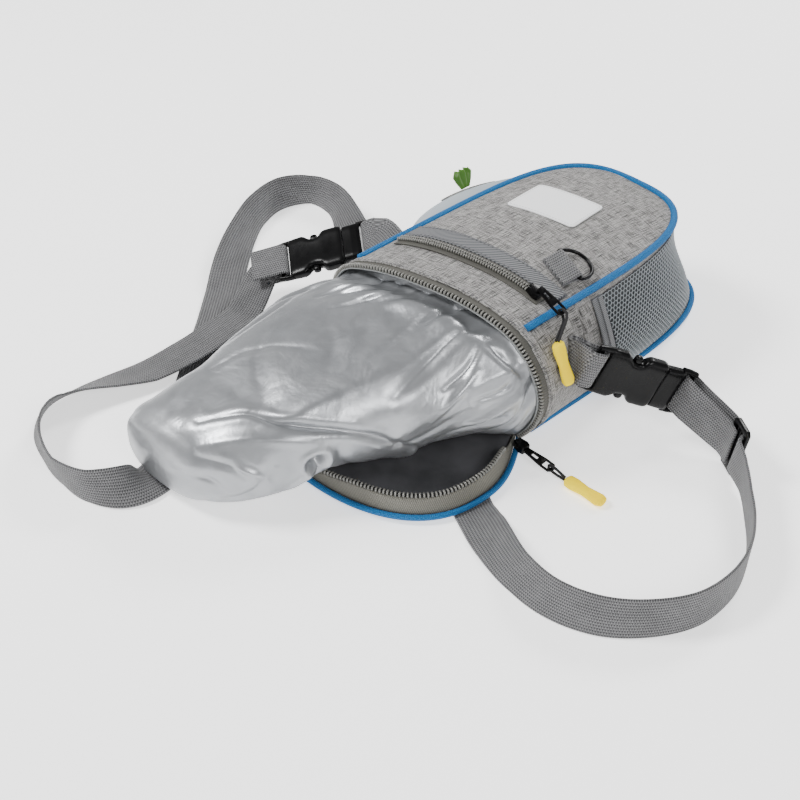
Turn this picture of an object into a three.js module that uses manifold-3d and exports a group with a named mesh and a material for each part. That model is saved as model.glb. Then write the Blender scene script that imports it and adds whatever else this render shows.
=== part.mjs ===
// Dog treat pouch, lying on its back with the lid open and the liner pulled out.
// Millimetres. X runs across the pouch, Y from the mouth to the round end, Z up.
// The origin is a point on the outer face of the back panel, on the middle line.
import * as THREE from 'three';
import Module from 'manifold-3d';

const wasm = await Module();
wasm.setup();

// Driving dimensions

const GAP = 0.3;                 // clearance between pieces that touch
const ORIGIN_FROM_MOUTH = 100;   // the origin's distance from the mouth edge

const front = { width: 120, length: 176, seamHeight: 79, crown: 13, thickness: 2.5 };
const back = { width: 126, length: 208, thickness: 3 };
const corner = { along: 5, across: 2.9 };      // exponents of the round end's outline
const shell = { thickness: 1.5, mouthBulge: 21, endBulge: 4 };
const piping = { radius: 2 };
const mouth = { tapeWidth: 8.5, tapeThickness: 1, topLean: -16, sideSkew: 10, leanReach: 60 };
const teeth = { radius: 1.3 };
const lid = { width: 168, length: 115, hingeShare: 0.72, widestShare: 0.45, thickness: 2 };
const lidTrim = { liningThickness: 1, bandHeight: 9, bandThickness: 1, bandLean: 4, pipingRadius: 1.8 };
const liner = { length: 186, thickness: 1, start: 6 };
const webbing = { width: 25, thickness: 1.5 };
const pocketZip = { width: 104, tapeWidth: 9, tapeThickness: 1, along: 31, teethRadius: 0.9 };
const band = { inset: 4, start: 36.2, end: 46.5, thickness: 1.2 };
const label = { width: 49, length: 35, thickness: 0.8, across: -8, along: 105, turn: 7.5 };
const ringTab = { width: 22, length: 12, thickness: 1.2 };
const ring = { width: 27, depth: 18, wire: 2.4, droop: 12.5 };
const net = { thickness: 1, proud: 4, startAlong: 66, endTurn: 0.46 };
const netEdge = { width: 8, thickness: 1.2 };
const dispenser = { depth: 24, thickness: 1.2, from: 53, to: 140, top: 0.1, bottom: 0.72 };
const slot = { length: 34, width: 5, thickness: 1.2 };
const bagTip = { length: 13, width: 17, thickness: 3 };
const buckle = { width: 33, thickness: 9, femaleLength: 46, maleLength: 21, bar: 3.6 };
const prong = { thickness: 4.4, length: 29, room: 26.8 };
const slide = { width: 34, length: 17, thickness: 3, bar: 3 };
const pull = { tabLength: 21, tabWidth: 7, tabThickness: 1.6, cord: 1.8 };
const grip = { length: 28, radius: 4.5, waist: 3.3 };
const slider = { length: 9, width: 7.5, height: 5.5 };

const FLOOR = -(webbing.thickness + GAP);      // the surface that the strap lies on

// Small maths

const V = (x, y, z) => new THREE.Vector3(x, y, z);
const lerp = THREE.MathUtils.lerp;
const clamp = THREE.MathUtils.clamp;
const radians = THREE.MathUtils.degToRad;

function steps(count) {
  return Array.from({ length: count + 1 }, (_, i) => i / count);
}

// Points spaced evenly along a polyline
function resample(points, count) {
  const run = [0];
  for (let i = 1; i < points.length; i++) run.push(run[i - 1] + points[i].distanceTo(points[i - 1]));
  const total = run[run.length - 1];
  let k = 1;
  return steps(count).map((s) => {
    while (k < points.length - 1 && run[k] < s * total) k++;
    const share = (s * total - run[k - 1]) / (run[k] - run[k - 1]);
    return points[k - 1].clone().lerp(points[k], share);
  });
}

// Closed solids

function solid(vertices, faces) {
  const indices = faces.flat();
  let volume = 0;
  for (let i = 0; i < indices.length; i += 3) {
    const [a, b, c] = [vertices[indices[i]], vertices[indices[i + 1]], vertices[indices[i + 2]]];
    volume += a.dot(b.clone().cross(c));
  }
  if (volume < 0) {
    for (let i = 0; i < indices.length; i += 3) {
      [indices[i + 1], indices[i + 2]] = [indices[i + 2], indices[i + 1]];
    }
  }
  const geometry = new THREE.BufferGeometry();
  const numbers = vertices.flatMap((v) => v.toArray());
  geometry.setAttribute('position', new THREE.Float32BufferAttribute(numbers, 3));
  geometry.setIndex(indices);
  geometry.computeVertexNormals();
  return geometry;
}

// A wall between an outer and an inner grid of points. Rings wrap, and an end may be capped.
function wall(outer, inner, { ring: wrap = false, cap = false } = {}) {
  const rows = outer.length;
  const columns = outer[0].length;
  const vertices = [...outer.flat(), ...inner.flat()];
  const at = (side, i, j) => side * rows * columns + i * columns + (j % columns);
  const faces = [];
  const quad = (a, b, c, d) => faces.push([a, b, c], [a, c, d]);
  const spans = wrap ? columns : columns - 1;
  for (let i = 0; i < rows - 1; i++) {
    for (let j = 0; j < spans; j++) {
      quad(at(0, i, j), at(0, i, j + 1), at(0, i + 1, j + 1), at(0, i + 1, j));
      quad(at(1, i, j), at(1, i + 1, j), at(1, i + 1, j + 1), at(1, i, j + 1));
    }
  }
  for (let j = 0; j < spans; j++) {
    quad(at(0, 0, j), at(1, 0, j), at(1, 0, j + 1), at(0, 0, j + 1));
    if (!cap) quad(at(0, rows - 1, j), at(0, rows - 1, j + 1), at(1, rows - 1, j + 1), at(1, rows - 1, j));
  }
  if (!wrap) {
    for (let i = 0; i < rows - 1; i++) {
      quad(at(0, i, 0), at(0, i + 1, 0), at(1, i + 1, 0), at(1, i, 0));
      const j = columns - 1;
      quad(at(0, i, j), at(1, i, j), at(1, i + 1, j), at(0, i + 1, j));
    }
  }
  if (cap) {
    for (const side of [0, 1]) {
      const last = [outer, inner][side][rows - 1];
      const middle = last.reduce((sum, p) => sum.add(p), V(0, 0, 0)).divideScalar(columns);
      const hub = vertices.push(middle) - 1;
      for (let j = 0; j < columns; j++) {
        const [a, b] = [at(side, rows - 1, j), at(side, rows - 1, j + 1)];
        faces.push(side ? [a, hub, b] : [a, b, hub]);
      }
    }
  }
  return solid(vertices, faces);
}

// A bar through rings of points, closed on itself or with flat ends
function bar(rings, closed = false) {
  const count = rings[0].length;
  const vertices = rings.flat();
  const faces = [];
  const spans = closed ? rings.length : rings.length - 1;
  for (let i = 0; i < spans; i++) {
    const [a, b] = [i * count, ((i + 1) % rings.length) * count];
    for (let j = 0; j < count; j++) {
      const k = (j + 1) % count;
      faces.push([a + j, a + k, b + k], [a + j, b + k, b + j]);
    }
  }
  if (!closed) {
    const last = (rings.length - 1) * count;
    for (let j = 1; j < count - 1; j++) {
      faces.push([0, j + 1, j], [last, last + j, last + j + 1]);
    }
  }
  return solid(vertices, faces);
}

// A round rod along a path; the section keeps one side toward the given direction
function rod(path, radius, { sides = 6, closed = false, toward = V(0, 0, 1) } = {}) {
  const rings = path.map((p, i) => {
    const before = closed ? path[(i - 1 + path.length) % path.length] : path[Math.max(i - 1, 0)];
    const after = closed ? path[(i + 1) % path.length] : path[Math.min(i + 1, path.length - 1)];
    const along = after.clone().sub(before).normalize();
    const side = along.clone().cross(toward).normalize();
    const up = side.clone().cross(along);
    return steps(sides).slice(0, sides).map((s) => {
      const angle = 2 * Math.PI * s;
      const point = p.clone().addScaledVector(side, radius * Math.cos(angle));
      return point.addScaledVector(up, radius * Math.sin(angle));
    });
  });
  return bar(rings, closed);
}

// A flat strip: every station has a middle point and the direction of its width. A station may
// also say which way the strip runs there, and otherwise its neighbours give that direction.
function strip(stations, width, thickness) {
  const rings = stations.map(({ point, across, heading }, i) => {
    const before = stations[Math.max(i - 1, 0)].point;
    const after = stations[Math.min(i + 1, stations.length - 1)].point;
    const along = heading ?? after.clone().sub(before).normalize();
    const wide = across.clone().addScaledVector(along, -across.dot(along)).normalize();
    const thick = along.clone().cross(wide);
    return [[1, 1], [-1, 1], [-1, -1], [1, -1]].map(([w, t]) =>
      point.clone().addScaledVector(wide, w * width / 2).addScaledVector(thick, t * thickness / 2));
  });
  return bar(rings);
}

// A flat outline made thick, centred on its own plane
function plate(shape, thickness, curveSegments = 6) {
  const geometry = new THREE.ExtrudeGeometry(shape, { depth: thickness, bevelEnabled: false, curveSegments });
  return geometry.translate(0, 0, -thickness / 2);
}

function toManifold(geometry) {
  const position = geometry.getAttribute('position');
  const index = geometry.getIndex();
  const count = index ? index.count : position.count;
  const seen = new Map();
  const vertices = [];
  const triangles = [];
  for (let i = 0; i < count; i++) {
    const p = V(0, 0, 0).fromBufferAttribute(position, index ? index.getX(i) : i);
    const key = p.toArray().map((v) => v.toFixed(4)).join(' ');
    if (!seen.has(key)) seen.set(key, vertices.push(p) - 1);
    triangles.push(seen.get(key));
  }
  return new wasm.Manifold(new wasm.Mesh({
    numProp: 3,
    vertProperties: new Float32Array(vertices.flatMap((v) => v.toArray())),
    triVerts: new Uint32Array(triangles),
  }));
}

function fromManifold(body) {
  const { vertProperties, triVerts } = body.getMesh();
  const geometry = new THREE.BufferGeometry();
  geometry.setAttribute('position', new THREE.Float32BufferAttribute(Array.from(vertProperties), 3));
  geometry.setIndex(Array.from(triVerts));
  geometry.computeVertexNormals();
  return geometry;
}

// A plate with rectangular holes cut through it
function pierced(geometry, holes) {
  let body = toManifold(geometry);
  for (const { at, length, half } of holes) {
    const cutter = new THREE.BoxGeometry(length, 2 * half, 20).translate(at, 0, 0);
    body = body.subtract(toManifold(cutter));
  }
  return fromManifold(body);
}

// Materials

function finish(color, roughness, metalness = 0) {
  return new THREE.MeshStandardMaterial({ color, roughness, metalness });
}

const heather = finish(0x8f8e8a, 0.9);
const blueCloth = finish(0x2f7fc4, 0.8);
const zipTape = finish(0x78766a, 0.85);
const zipCoil = finish(0x3c3d3c, 0.5);
const silver = finish(0xa9acae, 0.35, 0.6);
const darkLining = finish(0x3a3b3f, 0.4);
const greyWeb = finish(0x7a7c7e, 0.85);
const paleCloth = finish(0xb4bbc1, 0.8);
const meshNet = finish(0x8a9196, 0.8);
const blackPlastic = finish(0x16171a, 0.35);
const yellowRubber = finish(0xf2d94a, 0.5);
const whiteLabel = finish(0xeceef0, 0.6);
const greenFilm = finish(0x5f8f2c, 0.4);

const pouch = new THREE.Group();
pouch.position.y = -ORIGIN_FROM_MOUTH;

function add(name, geometry, material, parent = pouch) {
  const mesh = new THREE.Mesh(geometry, material);
  mesh.name = name;
  parent.add(mesh);
  return mesh;
}

// Main form: the front panel, the side gusset and the back panel share one outline

// The top of the mouth leans forward, more on the left, and the lean fades along the pouch
function lean(p) {
  const height = p.z / front.seamHeight;
  const shift = height * (mouth.topLean + mouth.sideSkew * p.x / (front.width / 2));
  return V(p.x, p.y + shift * Math.exp(-((p.y / mouth.leanReach) ** 2)), p.z);
}

const shellStart = mouth.tapeWidth + 2 * GAP;
const seamInset = piping.radius + GAP;

// Half width of the outline at a distance from the mouth
function halfWidth(panel, y) {
  const share = clamp(y / panel.length, 0, 1);
  return panel.width / 2 * (1 - share ** corner.along) ** (1 / corner.across);
}

function outlinePoint(panel, angle, z) {
  const c = Math.cos(angle);
  const s = Math.sin(angle);
  const x = Math.sign(c) * panel.width / 2 * Math.abs(c) ** (2 / corner.across);
  const y = shellStart + (panel.length - shellStart) * s ** (2 / corner.along);
  return V(x, y, z);
}

// Angles that space the front outline evenly, from the right mouth corner to the left one
const SEAM_STEPS = 34;
const seamAngles = (() => {
  const dense = steps(2000).map((s) => s * Math.PI);
  const points = dense.map((a) => outlinePoint(front, a, 0));
  const run = [0];
  for (let i = 1; i < points.length; i++) run.push(run[i - 1] + points[i].distanceTo(points[i - 1]));
  return steps(SEAM_STEPS).map((s) => {
    const k = run.findIndex((r) => r >= s * run[run.length - 1] - 1e-9);
    return dense[Math.max(k, 0)];
  });
})();

function outward(angle, panel = front) {
  const d = 0.004;
  const a = outlinePoint(panel, clamp(angle - d, 0, Math.PI), 0);
  const b = outlinePoint(panel, clamp(angle + d, 0, Math.PI), 0);
  const along = b.sub(a).normalize();
  return V(along.y, -along.x, 0);
}

// A point of the gusset: angle round the outline, share from the front seam to the back seam
function gussetPoint(angle, share, proud = 0) {
  const top = outlinePoint(front, angle, front.seamHeight);
  const foot = outlinePoint(back, angle, piping.radius);
  const alongShare = clamp(top.y / front.length, 0, 1);
  const bulge = lerp(shell.mouthBulge, shell.endBulge, alongShare) * 4 * share * (1 - share);
  return top.lerp(foot, share).addScaledVector(outward(angle), bulge + proud);
}

// The gusset's outward normal, its lean included
function gussetNormal(angle, share) {
  const d = 0.004;
  const side = (a, s) => lean(gussetPoint(clamp(a, 0, Math.PI), s));
  const round = side(angle + d, share).sub(side(angle - d, share));
  const down = side(angle, share + d).sub(side(angle, share - d));
  return down.cross(round).normalize();
}

const gussetTrim = seamInset / (front.seamHeight - piping.radius);

function gussetGrid(angles, fromShare, toShare, count, proud) {
  return angles.map((angle) => steps(count).map((s) => {
    const share = lerp(fromShare, toShare, s);
    const rise = typeof proud === 'function' ? proud(angle, s) : proud;
    return lean(gussetPoint(angle, share, rise));
  }));
}

add('side_gusset', wall(
  gussetGrid(seamAngles, gussetTrim, 1 - gussetTrim, 6, 0),
  gussetGrid(seamAngles, gussetTrim, 1 - gussetTrim, 6, -shell.thickness),
), heather);

// Height of the front panel's outer face
function frontHeight(x, y) {
  const edge = Math.max(halfWidth(front, y), 1);
  const across = clamp(Math.abs(x) / edge, 0, 1);
  const along = clamp(y / front.length, 0, 1);
  return front.seamHeight + front.crown * (1 - across ** 2.4) * (1 - along ** 3);
}

// A point above the front panel, before the mouth's lean
function onFront(x, y, proud) {
  return lean(V(x, y, frontHeight(x, y) + proud));
}

// Rows of a panel with the shared outline, spaced by the seam angles of one side
function panelRows(panel, start, inset) {
  return seamAngles.slice(0, SEAM_STEPS / 2).map((angle, i) => {
    const p = outlinePoint(panel, angle, 0).addScaledVector(outward(angle, panel), -inset);
    return { y: i === 0 ? start : p.y, half: p.x };
  });
}

const frontRows = panelRows(front, shellStart, seamInset);
const FRONT_COLUMNS = 10;

function frontGrid(proud) {
  return frontRows.map(({ y, half }) => steps(FRONT_COLUMNS).map((s) => {
    const x = lerp(half, -half, s);
    return onFront(x, y, proud);
  }));
}

add('front_panel', wall(frontGrid(0), frontGrid(-front.thickness)), heather);

const backRows = panelRows(back, 0, seamInset);
add('back_panel', wall(
  backRows.map(({ y, half }) => steps(4).map((s) => V(lerp(half, -half, s), y, back.thickness))),
  backRows.map(({ y, half }) => steps(4).map((s) => V(lerp(half, -half, s), y, 0))),
), heather);

const frontSeam = seamAngles.map((a) => lean(outlinePoint(front, a, front.seamHeight)));
const backSeam = seamAngles.map((a) => outlinePoint(back, a, piping.radius));
add('front_piping', rod(frontSeam, piping.radius), blueCloth);
add('back_piping', rod(backSeam, piping.radius), blueCloth);

// Mouth zip: the tape and teeth run round the rim from one lower corner to the other

const rimSection = (() => {
  const side = (angle) => steps(7).map((s) => gussetPoint(angle, lerp(1 - gussetTrim, gussetTrim, s)));
  const top = steps(10).slice(1, 10).map((s) => {
    const x = lerp(front.width / 2 - seamInset, -(front.width / 2 - seamInset), s);
    return V(x, 0, frontHeight(x, 0));
  });
  const points = [...side(0), ...top, ...side(Math.PI).reverse()];
  return resample(points.map((p) => V(p.x, 0, p.z)), 26);
})();

// The rim moved inward by a distance, at a distance from the mouth edge
function rimAt(y, inset) {
  return rimSection.map((p, i) => {
    const a = rimSection[Math.max(i - 1, 0)];
    const b = rimSection[Math.min(i + 1, rimSection.length - 1)];
    const along = b.clone().sub(a).normalize();
    return lean(V(p.x - along.z * inset, y, p.z + along.x * inset));
  });
}

add('mouth_zip_tape', wall(
  [rimAt(mouth.tapeWidth, 0), rimAt(0, 0)],
  [rimAt(mouth.tapeWidth, mouth.tapeThickness), rimAt(0, mouth.tapeThickness)],
), zipTape);
const mouthChain = rimAt(-(teeth.radius + GAP), mouth.tapeThickness / 2);
add('mouth_zip_teeth', rod(mouthChain, teeth.radius, { toward: V(0, 1, 0) }), zipCoil);

// Lid: a shallow half-moon tray that lies open on the surface

function lidHalf(share) {
  const { hingeShare, widestShare } = lid;
  if (share < widestShare) {
    return lid.width / 2 * (hingeShare + (1 - hingeShare) * Math.sin(Math.PI / 2 * share / widestShare));
  }
  const far = (share - widestShare) / (1 - widestShare);
  return lid.width / 2 * (1 - far ** 2.6) ** (1 / 2.2);
}

const lidSide = resample(steps(400).map((s) => V(lidHalf(s), -GAP - s * lid.length, 0)), 14);
const lidEdge = [...lidSide, ...lidSide.slice(0, -1).reverse().map((p) => V(-p.x, p.y, 0))];

// The lid's edge moved inward and lifted
function lidLine(inset, height) {
  return lidEdge.map((p, i) => {
    const a = lidEdge[Math.max(i - 1, 0)];
    const b = lidEdge[Math.min(i + 1, lidEdge.length - 1)];
    const along = b.clone().sub(a).normalize();
    const z = typeof height === 'function' ? height(i / (lidEdge.length - 1)) : height;
    const move = typeof inset === 'function' ? inset(i / (lidEdge.length - 1)) : inset;
    return V(p.x + along.y * move, Math.min(p.y - along.x * move, -GAP), z);
  });
}

function lidSheet(inset, low, high) {
  const line = lidLine(inset, 0);
  const rows = steps(13).map((_, i) => ({ y: line[i].y, half: line[i].x }));
  const grid = (z) => rows.map(({ y, half }) => steps(6).map((s) => V(lerp(half, -half, s), y, z)));
  return wall(grid(high), grid(low));
}

// The liner's weight presses the band down where it lies over the lid
const bandShares = [
  { along: 0, height: 0.12 }, { along: 0.035, height: 0.3 }, { along: 0.09, height: 1 },
  { along: 0.4, height: 1 },
  { along: 0.5, height: 0.45 }, { along: 0.6, height: 0.2 }, { along: 1, height: 0.12 },
];

function bandShare(along) {
  const k = Math.max(bandShares.findIndex((row) => row.along >= along), 1);
  const [a, b] = [bandShares[k - 1], bandShares[k]];
  return lerp(a.height, b.height, (along - a.along) / (b.along - a.along));
}

const lidTop = lid.thickness + GAP;
const bandInset = (share) => lidTrim.bandLean * bandShare(share);
const bandTop = (share) => lidTop + lidTrim.bandHeight * bandShare(share);
const liningInset = lidTrim.bandThickness + GAP + 0.5;

add('lid_panel', lidSheet(0, 0, lid.thickness), heather);
add('lid_lining', lidSheet(liningInset + 1.2, lidTop, lidTop + lidTrim.liningThickness), darkLining);
const lidSeam = lidLine(-(lidTrim.pipingRadius + 3 * GAP), lidTrim.pipingRadius);
add('lid_piping', rod(lidSeam, lidTrim.pipingRadius), blueCloth);
add('lid_zip_tape', wall(
  [lidLine(0, lidTop), lidLine(bandInset, bandTop)],
  [lidLine(lidTrim.bandThickness, lidTop), lidLine((s) => bandInset(s) + lidTrim.bandThickness, bandTop)],
), zipTape);
add('lid_zip_teeth', rod(
  lidLine((s) => bandInset(s) + lidTrim.bandThickness / 2, (s) => bandTop(s) + GAP + teeth.radius)
    .slice(2, -1),
  teeth.radius,
), zipCoil);

// Liner: a thin bag sewn inside the mouth and turned inside out, so that it hangs out in front

const LINER_SIDES = 28;
const linerMiddle = 44;
const linerAngles = steps(LINER_SIDES).slice(0, LINER_SIDES).map((s) => 2 * Math.PI * s - Math.PI / 4);

// Distance from the middle of the mouth to its rim, in a direction
function rimRadius(angle, inset) {
  const line = rimSection.map((p) => V(p.x, 0, p.z));
  const foot = (side) => V(side * (back.width / 2 - 3), 0, back.thickness + 1);
  const loop = [...line, foot(-1), foot(1)];
  const ray = V(Math.cos(angle), 0, Math.sin(angle));
  let found = 0;
  for (let i = 0; i < loop.length; i++) {
    const a = loop[i];
    const e = loop[(i + 1) % loop.length].clone().sub(a);
    const det = ray.x * -e.z + ray.z * e.x;
    if (Math.abs(det) < 1e-9) continue;
    const r = (a.x * -e.z + (a.z - linerMiddle) * e.x) / det;
    const u = (ray.x * (a.z - linerMiddle) - ray.z * a.x) / det;
    if (r > found && u >= -1e-9 && u <= 1 + 1e-9) found = r;
  }
  return found - inset;
}

// Shares: along of the liner's length, middle and half of the lid's half width,
// low and high of the front seam's height, square is the section's squareness
const linerSections = [
  { along: 0.08, middle: -0.03, half: 0.93, low: 0.055, high: 1.09, square: 2.5, rim: 0.45 },
  { along: 0.17, middle: -0.12, half: 0.90, low: 0.065, high: 1.06, square: 2.4, rim: 0.1 },
  { along: 0.27, middle: -0.23, half: 0.85, low: 0.065, high: 1.04, square: 2.4, rim: 0 },
  { along: 0.38, middle: -0.28, half: 0.78, low: 0.065, high: 1.00, square: 2.4, rim: 0 },
  { along: 0.49, middle: -0.33, half: 0.70, low: 0.095, high: 0.95, square: 2.5, rim: 0 },
  { along: 0.57, middle: -0.36, half: 0.65, low: 0.165, high: 0.91, square: 2.5, rim: 0 },
  { along: 0.635, middle: -0.38, half: 0.61, low: 0.165, high: 0.87, square: 2.5, rim: 0 },
  { along: 0.70, middle: -0.40, half: 0.58, low: 0.09, high: 0.82, square: 2.6, rim: 0 },
  { along: 0.78, middle: -0.46, half: 0.55, low: 0.02, high: 0.75, square: 2.7, rim: 0 },
  { along: 0.87, middle: -0.53, half: 0.50, low: 0.02, high: 0.66, square: 2.8, rim: 0 },
  { along: 0.94, middle: -0.60, half: 0.42, low: 0.045, high: 0.56, square: 2.8, rim: 0 },
  { along: 0.985, middle: -0.65, half: 0.28, low: 0.09, high: 0.44, square: 2.6, rim: 0 },
  { along: 1.0, middle: -0.67, half: 0.12, low: 0.16, high: 0.34, square: 2.4, rim: 0 },
];

function linerRing(section, inset) {
  const lidHalfWidth = lid.width / 2;
  const low = section.low * front.seamHeight + inset;
  const high = section.high * front.seamHeight - inset;
  const half = section.half * lidHalfWidth - inset;
  return linerAngles.map((angle) => {
    const c = Math.cos(angle);
    const s = Math.sin(angle);
    const x = section.middle * lidHalfWidth + Math.sign(c) * half * Math.abs(c) ** (2 / section.square);
    const z = (low + high) / 2 + Math.sign(s) * (high - low) / 2 * Math.abs(s) ** (2 / section.square);
    const p = V(x, -section.along * liner.length, z);
    if (section.rim === 0) return p;
    const r = rimRadius(angle, rimInset + inset);
    return p.lerp(V(r * c, p.y, linerMiddle + r * s), section.rim);
  });
}

const rimInset = mouth.tapeThickness + 2 * GAP;
function linerMouthRing(y, inset) {
  return linerAngles.map((angle) => {
    const r = rimRadius(angle, rimInset + inset);
    return lean(V(r * Math.cos(angle), y, linerMiddle + r * Math.sin(angle)));
  });
}

function linerRings(inset) {
  const first = [liner.start, 0, -5].map((y) => linerMouthRing(y, inset + (y < 0 ? 1.6 : 0)));
  const rest = linerSections.map((section) => {
    return linerRing(section, inset).map(lean);
  });
  const tip = rest[rest.length - 1];
  tip.forEach((p) => { p.y += inset; });
  return [...first, ...rest];
}

add('liner', wall(linerRings(0), linerRings(liner.thickness), { ring: true, cap: true }), silver);

// Front panel trim: pocket zip, webbing band, ring tab and label

function patch(fromX, toX, fromY, toY, low, high, columns = 10, rows = 1) {
  const grid = (proud) => steps(rows).map((v) => steps(columns).map((u) =>
    onFront(lerp(fromX, toX, u), lerp(fromY, toY, v), proud)));
  return wall(grid(high), grid(low));
}

const zipHalf = pocketZip.width / 2;
const zipLow = pocketZip.along - pocketZip.tapeWidth / 2;
const zipHigh = pocketZip.along + pocketZip.tapeWidth / 2;
const zipTop = GAP + pocketZip.tapeThickness;
add('pocket_zip_tape', patch(-zipHalf, zipHalf, zipLow, zipHigh, GAP, zipTop), zipTape);
const chainHeight = 2 * GAP + pocketZip.tapeThickness + pocketZip.teethRadius;
const sliderSpot = zipHalf - slider.length / 2;
for (const [name, side] of [['pocket_zip_teeth_near', -1], ['pocket_zip_teeth_far', 1]]) {
  const y = pocketZip.along + side * (pocketZip.teethRadius + GAP / 2);
  const end = sliderSpot - slider.length / 2 - 3 * GAP;
  const path = steps(12).map((s) => onFront(lerp(-zipHalf, end, s), y, chainHeight));
  add(name, rod(path, pocketZip.teethRadius), zipCoil);
}

const bandHalf = front.width / 2 - band.inset;
add('front_band', patch(-bandHalf, bandHalf, band.start, band.end, GAP, GAP + band.thickness), greyWeb);

function turned(x, y, degrees) {
  const c = Math.cos(radians(degrees));
  const s = Math.sin(radians(degrees));
  return [x * c - y * s, x * s + y * c];
}

const labelGrid = (proud) => steps(4).map((v) => steps(6).map((u) => {
  const [dx, dy] = turned((u - 0.5) * label.width, (v - 0.5) * label.length, label.turn);
  return onFront(label.across + dx, label.along + dy, proud);
}));
add('label_patch', wall(labelGrid(GAP + label.thickness), labelGrid(GAP)), whiteLabel);

// Ring tab: a webbing strip that wraps the ring's straight bar
const ringSpot = { inset: 17.5, along: 62, turn: -14 };
function tabPoint(u, v, proud) {
  const [dx, dy] = turned(u, v, ringSpot.turn);
  return onFront(front.width / 2 - ringSpot.inset + dx, ringSpot.along + dy, proud);
}
const tabWrap = ring.wire / 2 + GAP + ringTab.thickness / 2;
const ringRise = GAP + ringTab.thickness / 2 + tabWrap;
const tabPath = [
  ...steps(4).map((s) => [lerp(-ringTab.length, 0, s), ringRise - tabWrap]),
  ...steps(6).slice(1, 6).map((s) => Math.PI * s)
    .map((turn) => [tabWrap * Math.sin(turn), ringRise - tabWrap * Math.cos(turn)]),
  ...steps(4).map((s) => [lerp(0, -ringTab.length, s), lerp(ringRise + tabWrap, ringRise - tabWrap
    + ringTab.thickness + GAP, clamp(s * 1.6, 0, 1))]),
];
const tabAcross = tabPoint(1, 0, 0).sub(tabPoint(-1, 0, 0)).normalize();
const tabUp = V(0, 0, 1).addScaledVector(tabAcross, -tabAcross.z).normalize();
const tabAlong = tabUp.clone().cross(tabAcross);
const TAB_LIFT = 0.75;           // the flat tab over the crowned panel
const ringCentre = tabPoint(0, 0, 0).addScaledVector(tabUp, TAB_LIFT);
add('ring_tab', strip(tabPath.map(([v, h]) => ({
  point: ringCentre.clone().addScaledVector(tabAlong, v).addScaledVector(tabUp, h),
  across: tabAcross,
})), ringTab.width, ringTab.thickness), greyWeb);

// D-ring: a straight bar and a round bow of bent wire
const ringHalf = ring.width / 2 - ring.wire / 2;
const ringLine = [
  ...steps(4).map((s) => [lerp(-ringHalf, ringHalf, s), 0]),
  ...steps(12).slice(1, 12).map((s) => {
    const a = Math.PI * s;
    return [ringHalf * Math.cos(a), (ring.depth - ring.wire) * Math.sin(a) ** 0.8];
  }),
];
const ringAlong = tabAlong.clone().applyAxisAngle(tabAcross, radians(-ring.droop));
const ringPath = ringLine.map(([u, v]) => ringCentre.clone()
  .addScaledVector(tabAcross, u).addScaledVector(ringAlong, v).addScaledVector(tabUp, ringRise));
add('d_ring', rod(ringPath, ring.wire / 2, { closed: true, toward: tabUp }), blackPlastic);

// Side pockets

// Gusset angle on the right side at a distance from the mouth
function angleAt(y) {
  const share = clamp((y - shellStart) / (front.length - shellStart), 0, 1);
  return Math.asin(share ** (corner.along / 2));
}

const netStart = angleAt(net.startAlong);
const netAngles = (() => {
  const from = seamAngles.findIndex((a) => a > netStart);
  const to = Math.round(net.endTurn * SEAM_STEPS);
  return [netStart, ...seamAngles.slice(from, to + 1)];
})();
const netRise = (angle, s) => GAP + net.proud * Math.sin(Math.PI * clamp(s, 0, 1));
const netTop = gussetTrim + 0.03;
const netFoot = 1 - gussetTrim - 0.02;
add('mesh_pocket', wall(
  gussetGrid(netAngles, netTop, netFoot, 6, (a, s) => netRise(a, s) + net.thickness),
  gussetGrid(netAngles, netTop, netFoot, 6, netRise),
), meshNet);

const edgeAngles = steps(2).map((s) => angleAt(net.startAlong - GAP - 0.4 - netEdge.width * (1 - s)));
add('mesh_edge', wall(
  gussetGrid(edgeAngles, netTop, netFoot, 6, (a, s) => netRise(a, s) + netEdge.thickness),
  gussetGrid(edgeAngles, netTop, netFoot, 6, netRise),
), greyWeb);

// The bag dispenser is a bulging pocket on the left side, with a slot that a bag end leaves by
const dispenserAngles = steps(9).map((s) => Math.PI - angleAt(lerp(dispenser.from, dispenser.to, s)));
const pillow = (u, v) => (Math.sin(Math.PI * u) ** 0.55) * (Math.sin(Math.PI * v) ** 0.6);
function dispenserGrid(inset) {
  return dispenserAngles.map((angle, i) => steps(7).map((v) => {
    const rise = GAP + dispenser.depth * pillow(i / 9, v);
    const share = lerp(dispenser.top, dispenser.bottom, v);
    return lean(gussetPoint(angle, share, rise + inset));
  }));
}
add('dispenser_pocket', wall(dispenserGrid(dispenser.thickness), dispenserGrid(0)), paleCloth);

// A frame at a place of the dispenser's outer face
function dispenserSpot(u, v, proud) {
  const angle = Math.PI - angleAt(lerp(dispenser.from, dispenser.to, u));
  const rise = GAP + dispenser.depth * pillow(u, v) + dispenser.thickness + proud;
  return lean(gussetPoint(angle, lerp(dispenser.top, dispenser.bottom, v), rise));
}
const slotMiddle = { u: 0.56, v: 0.2 };
const slotSpan = slot.length / (dispenser.to - dispenser.from) / 2;
const slotWide = slot.width / (front.seamHeight * (dispenser.bottom - dispenser.top)) / 2;
const slotGrid = (proud) => steps(5).map((s) => steps(1).map((t) => dispenserSpot(
  slotMiddle.u + lerp(-slotSpan, slotSpan, s), slotMiddle.v + lerp(-slotWide, slotWide, t), proud)));
add('dispenser_slot', wall(slotGrid(GAP * 1.7 + slot.thickness), slotGrid(GAP * 1.7)), darkLining);

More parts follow.
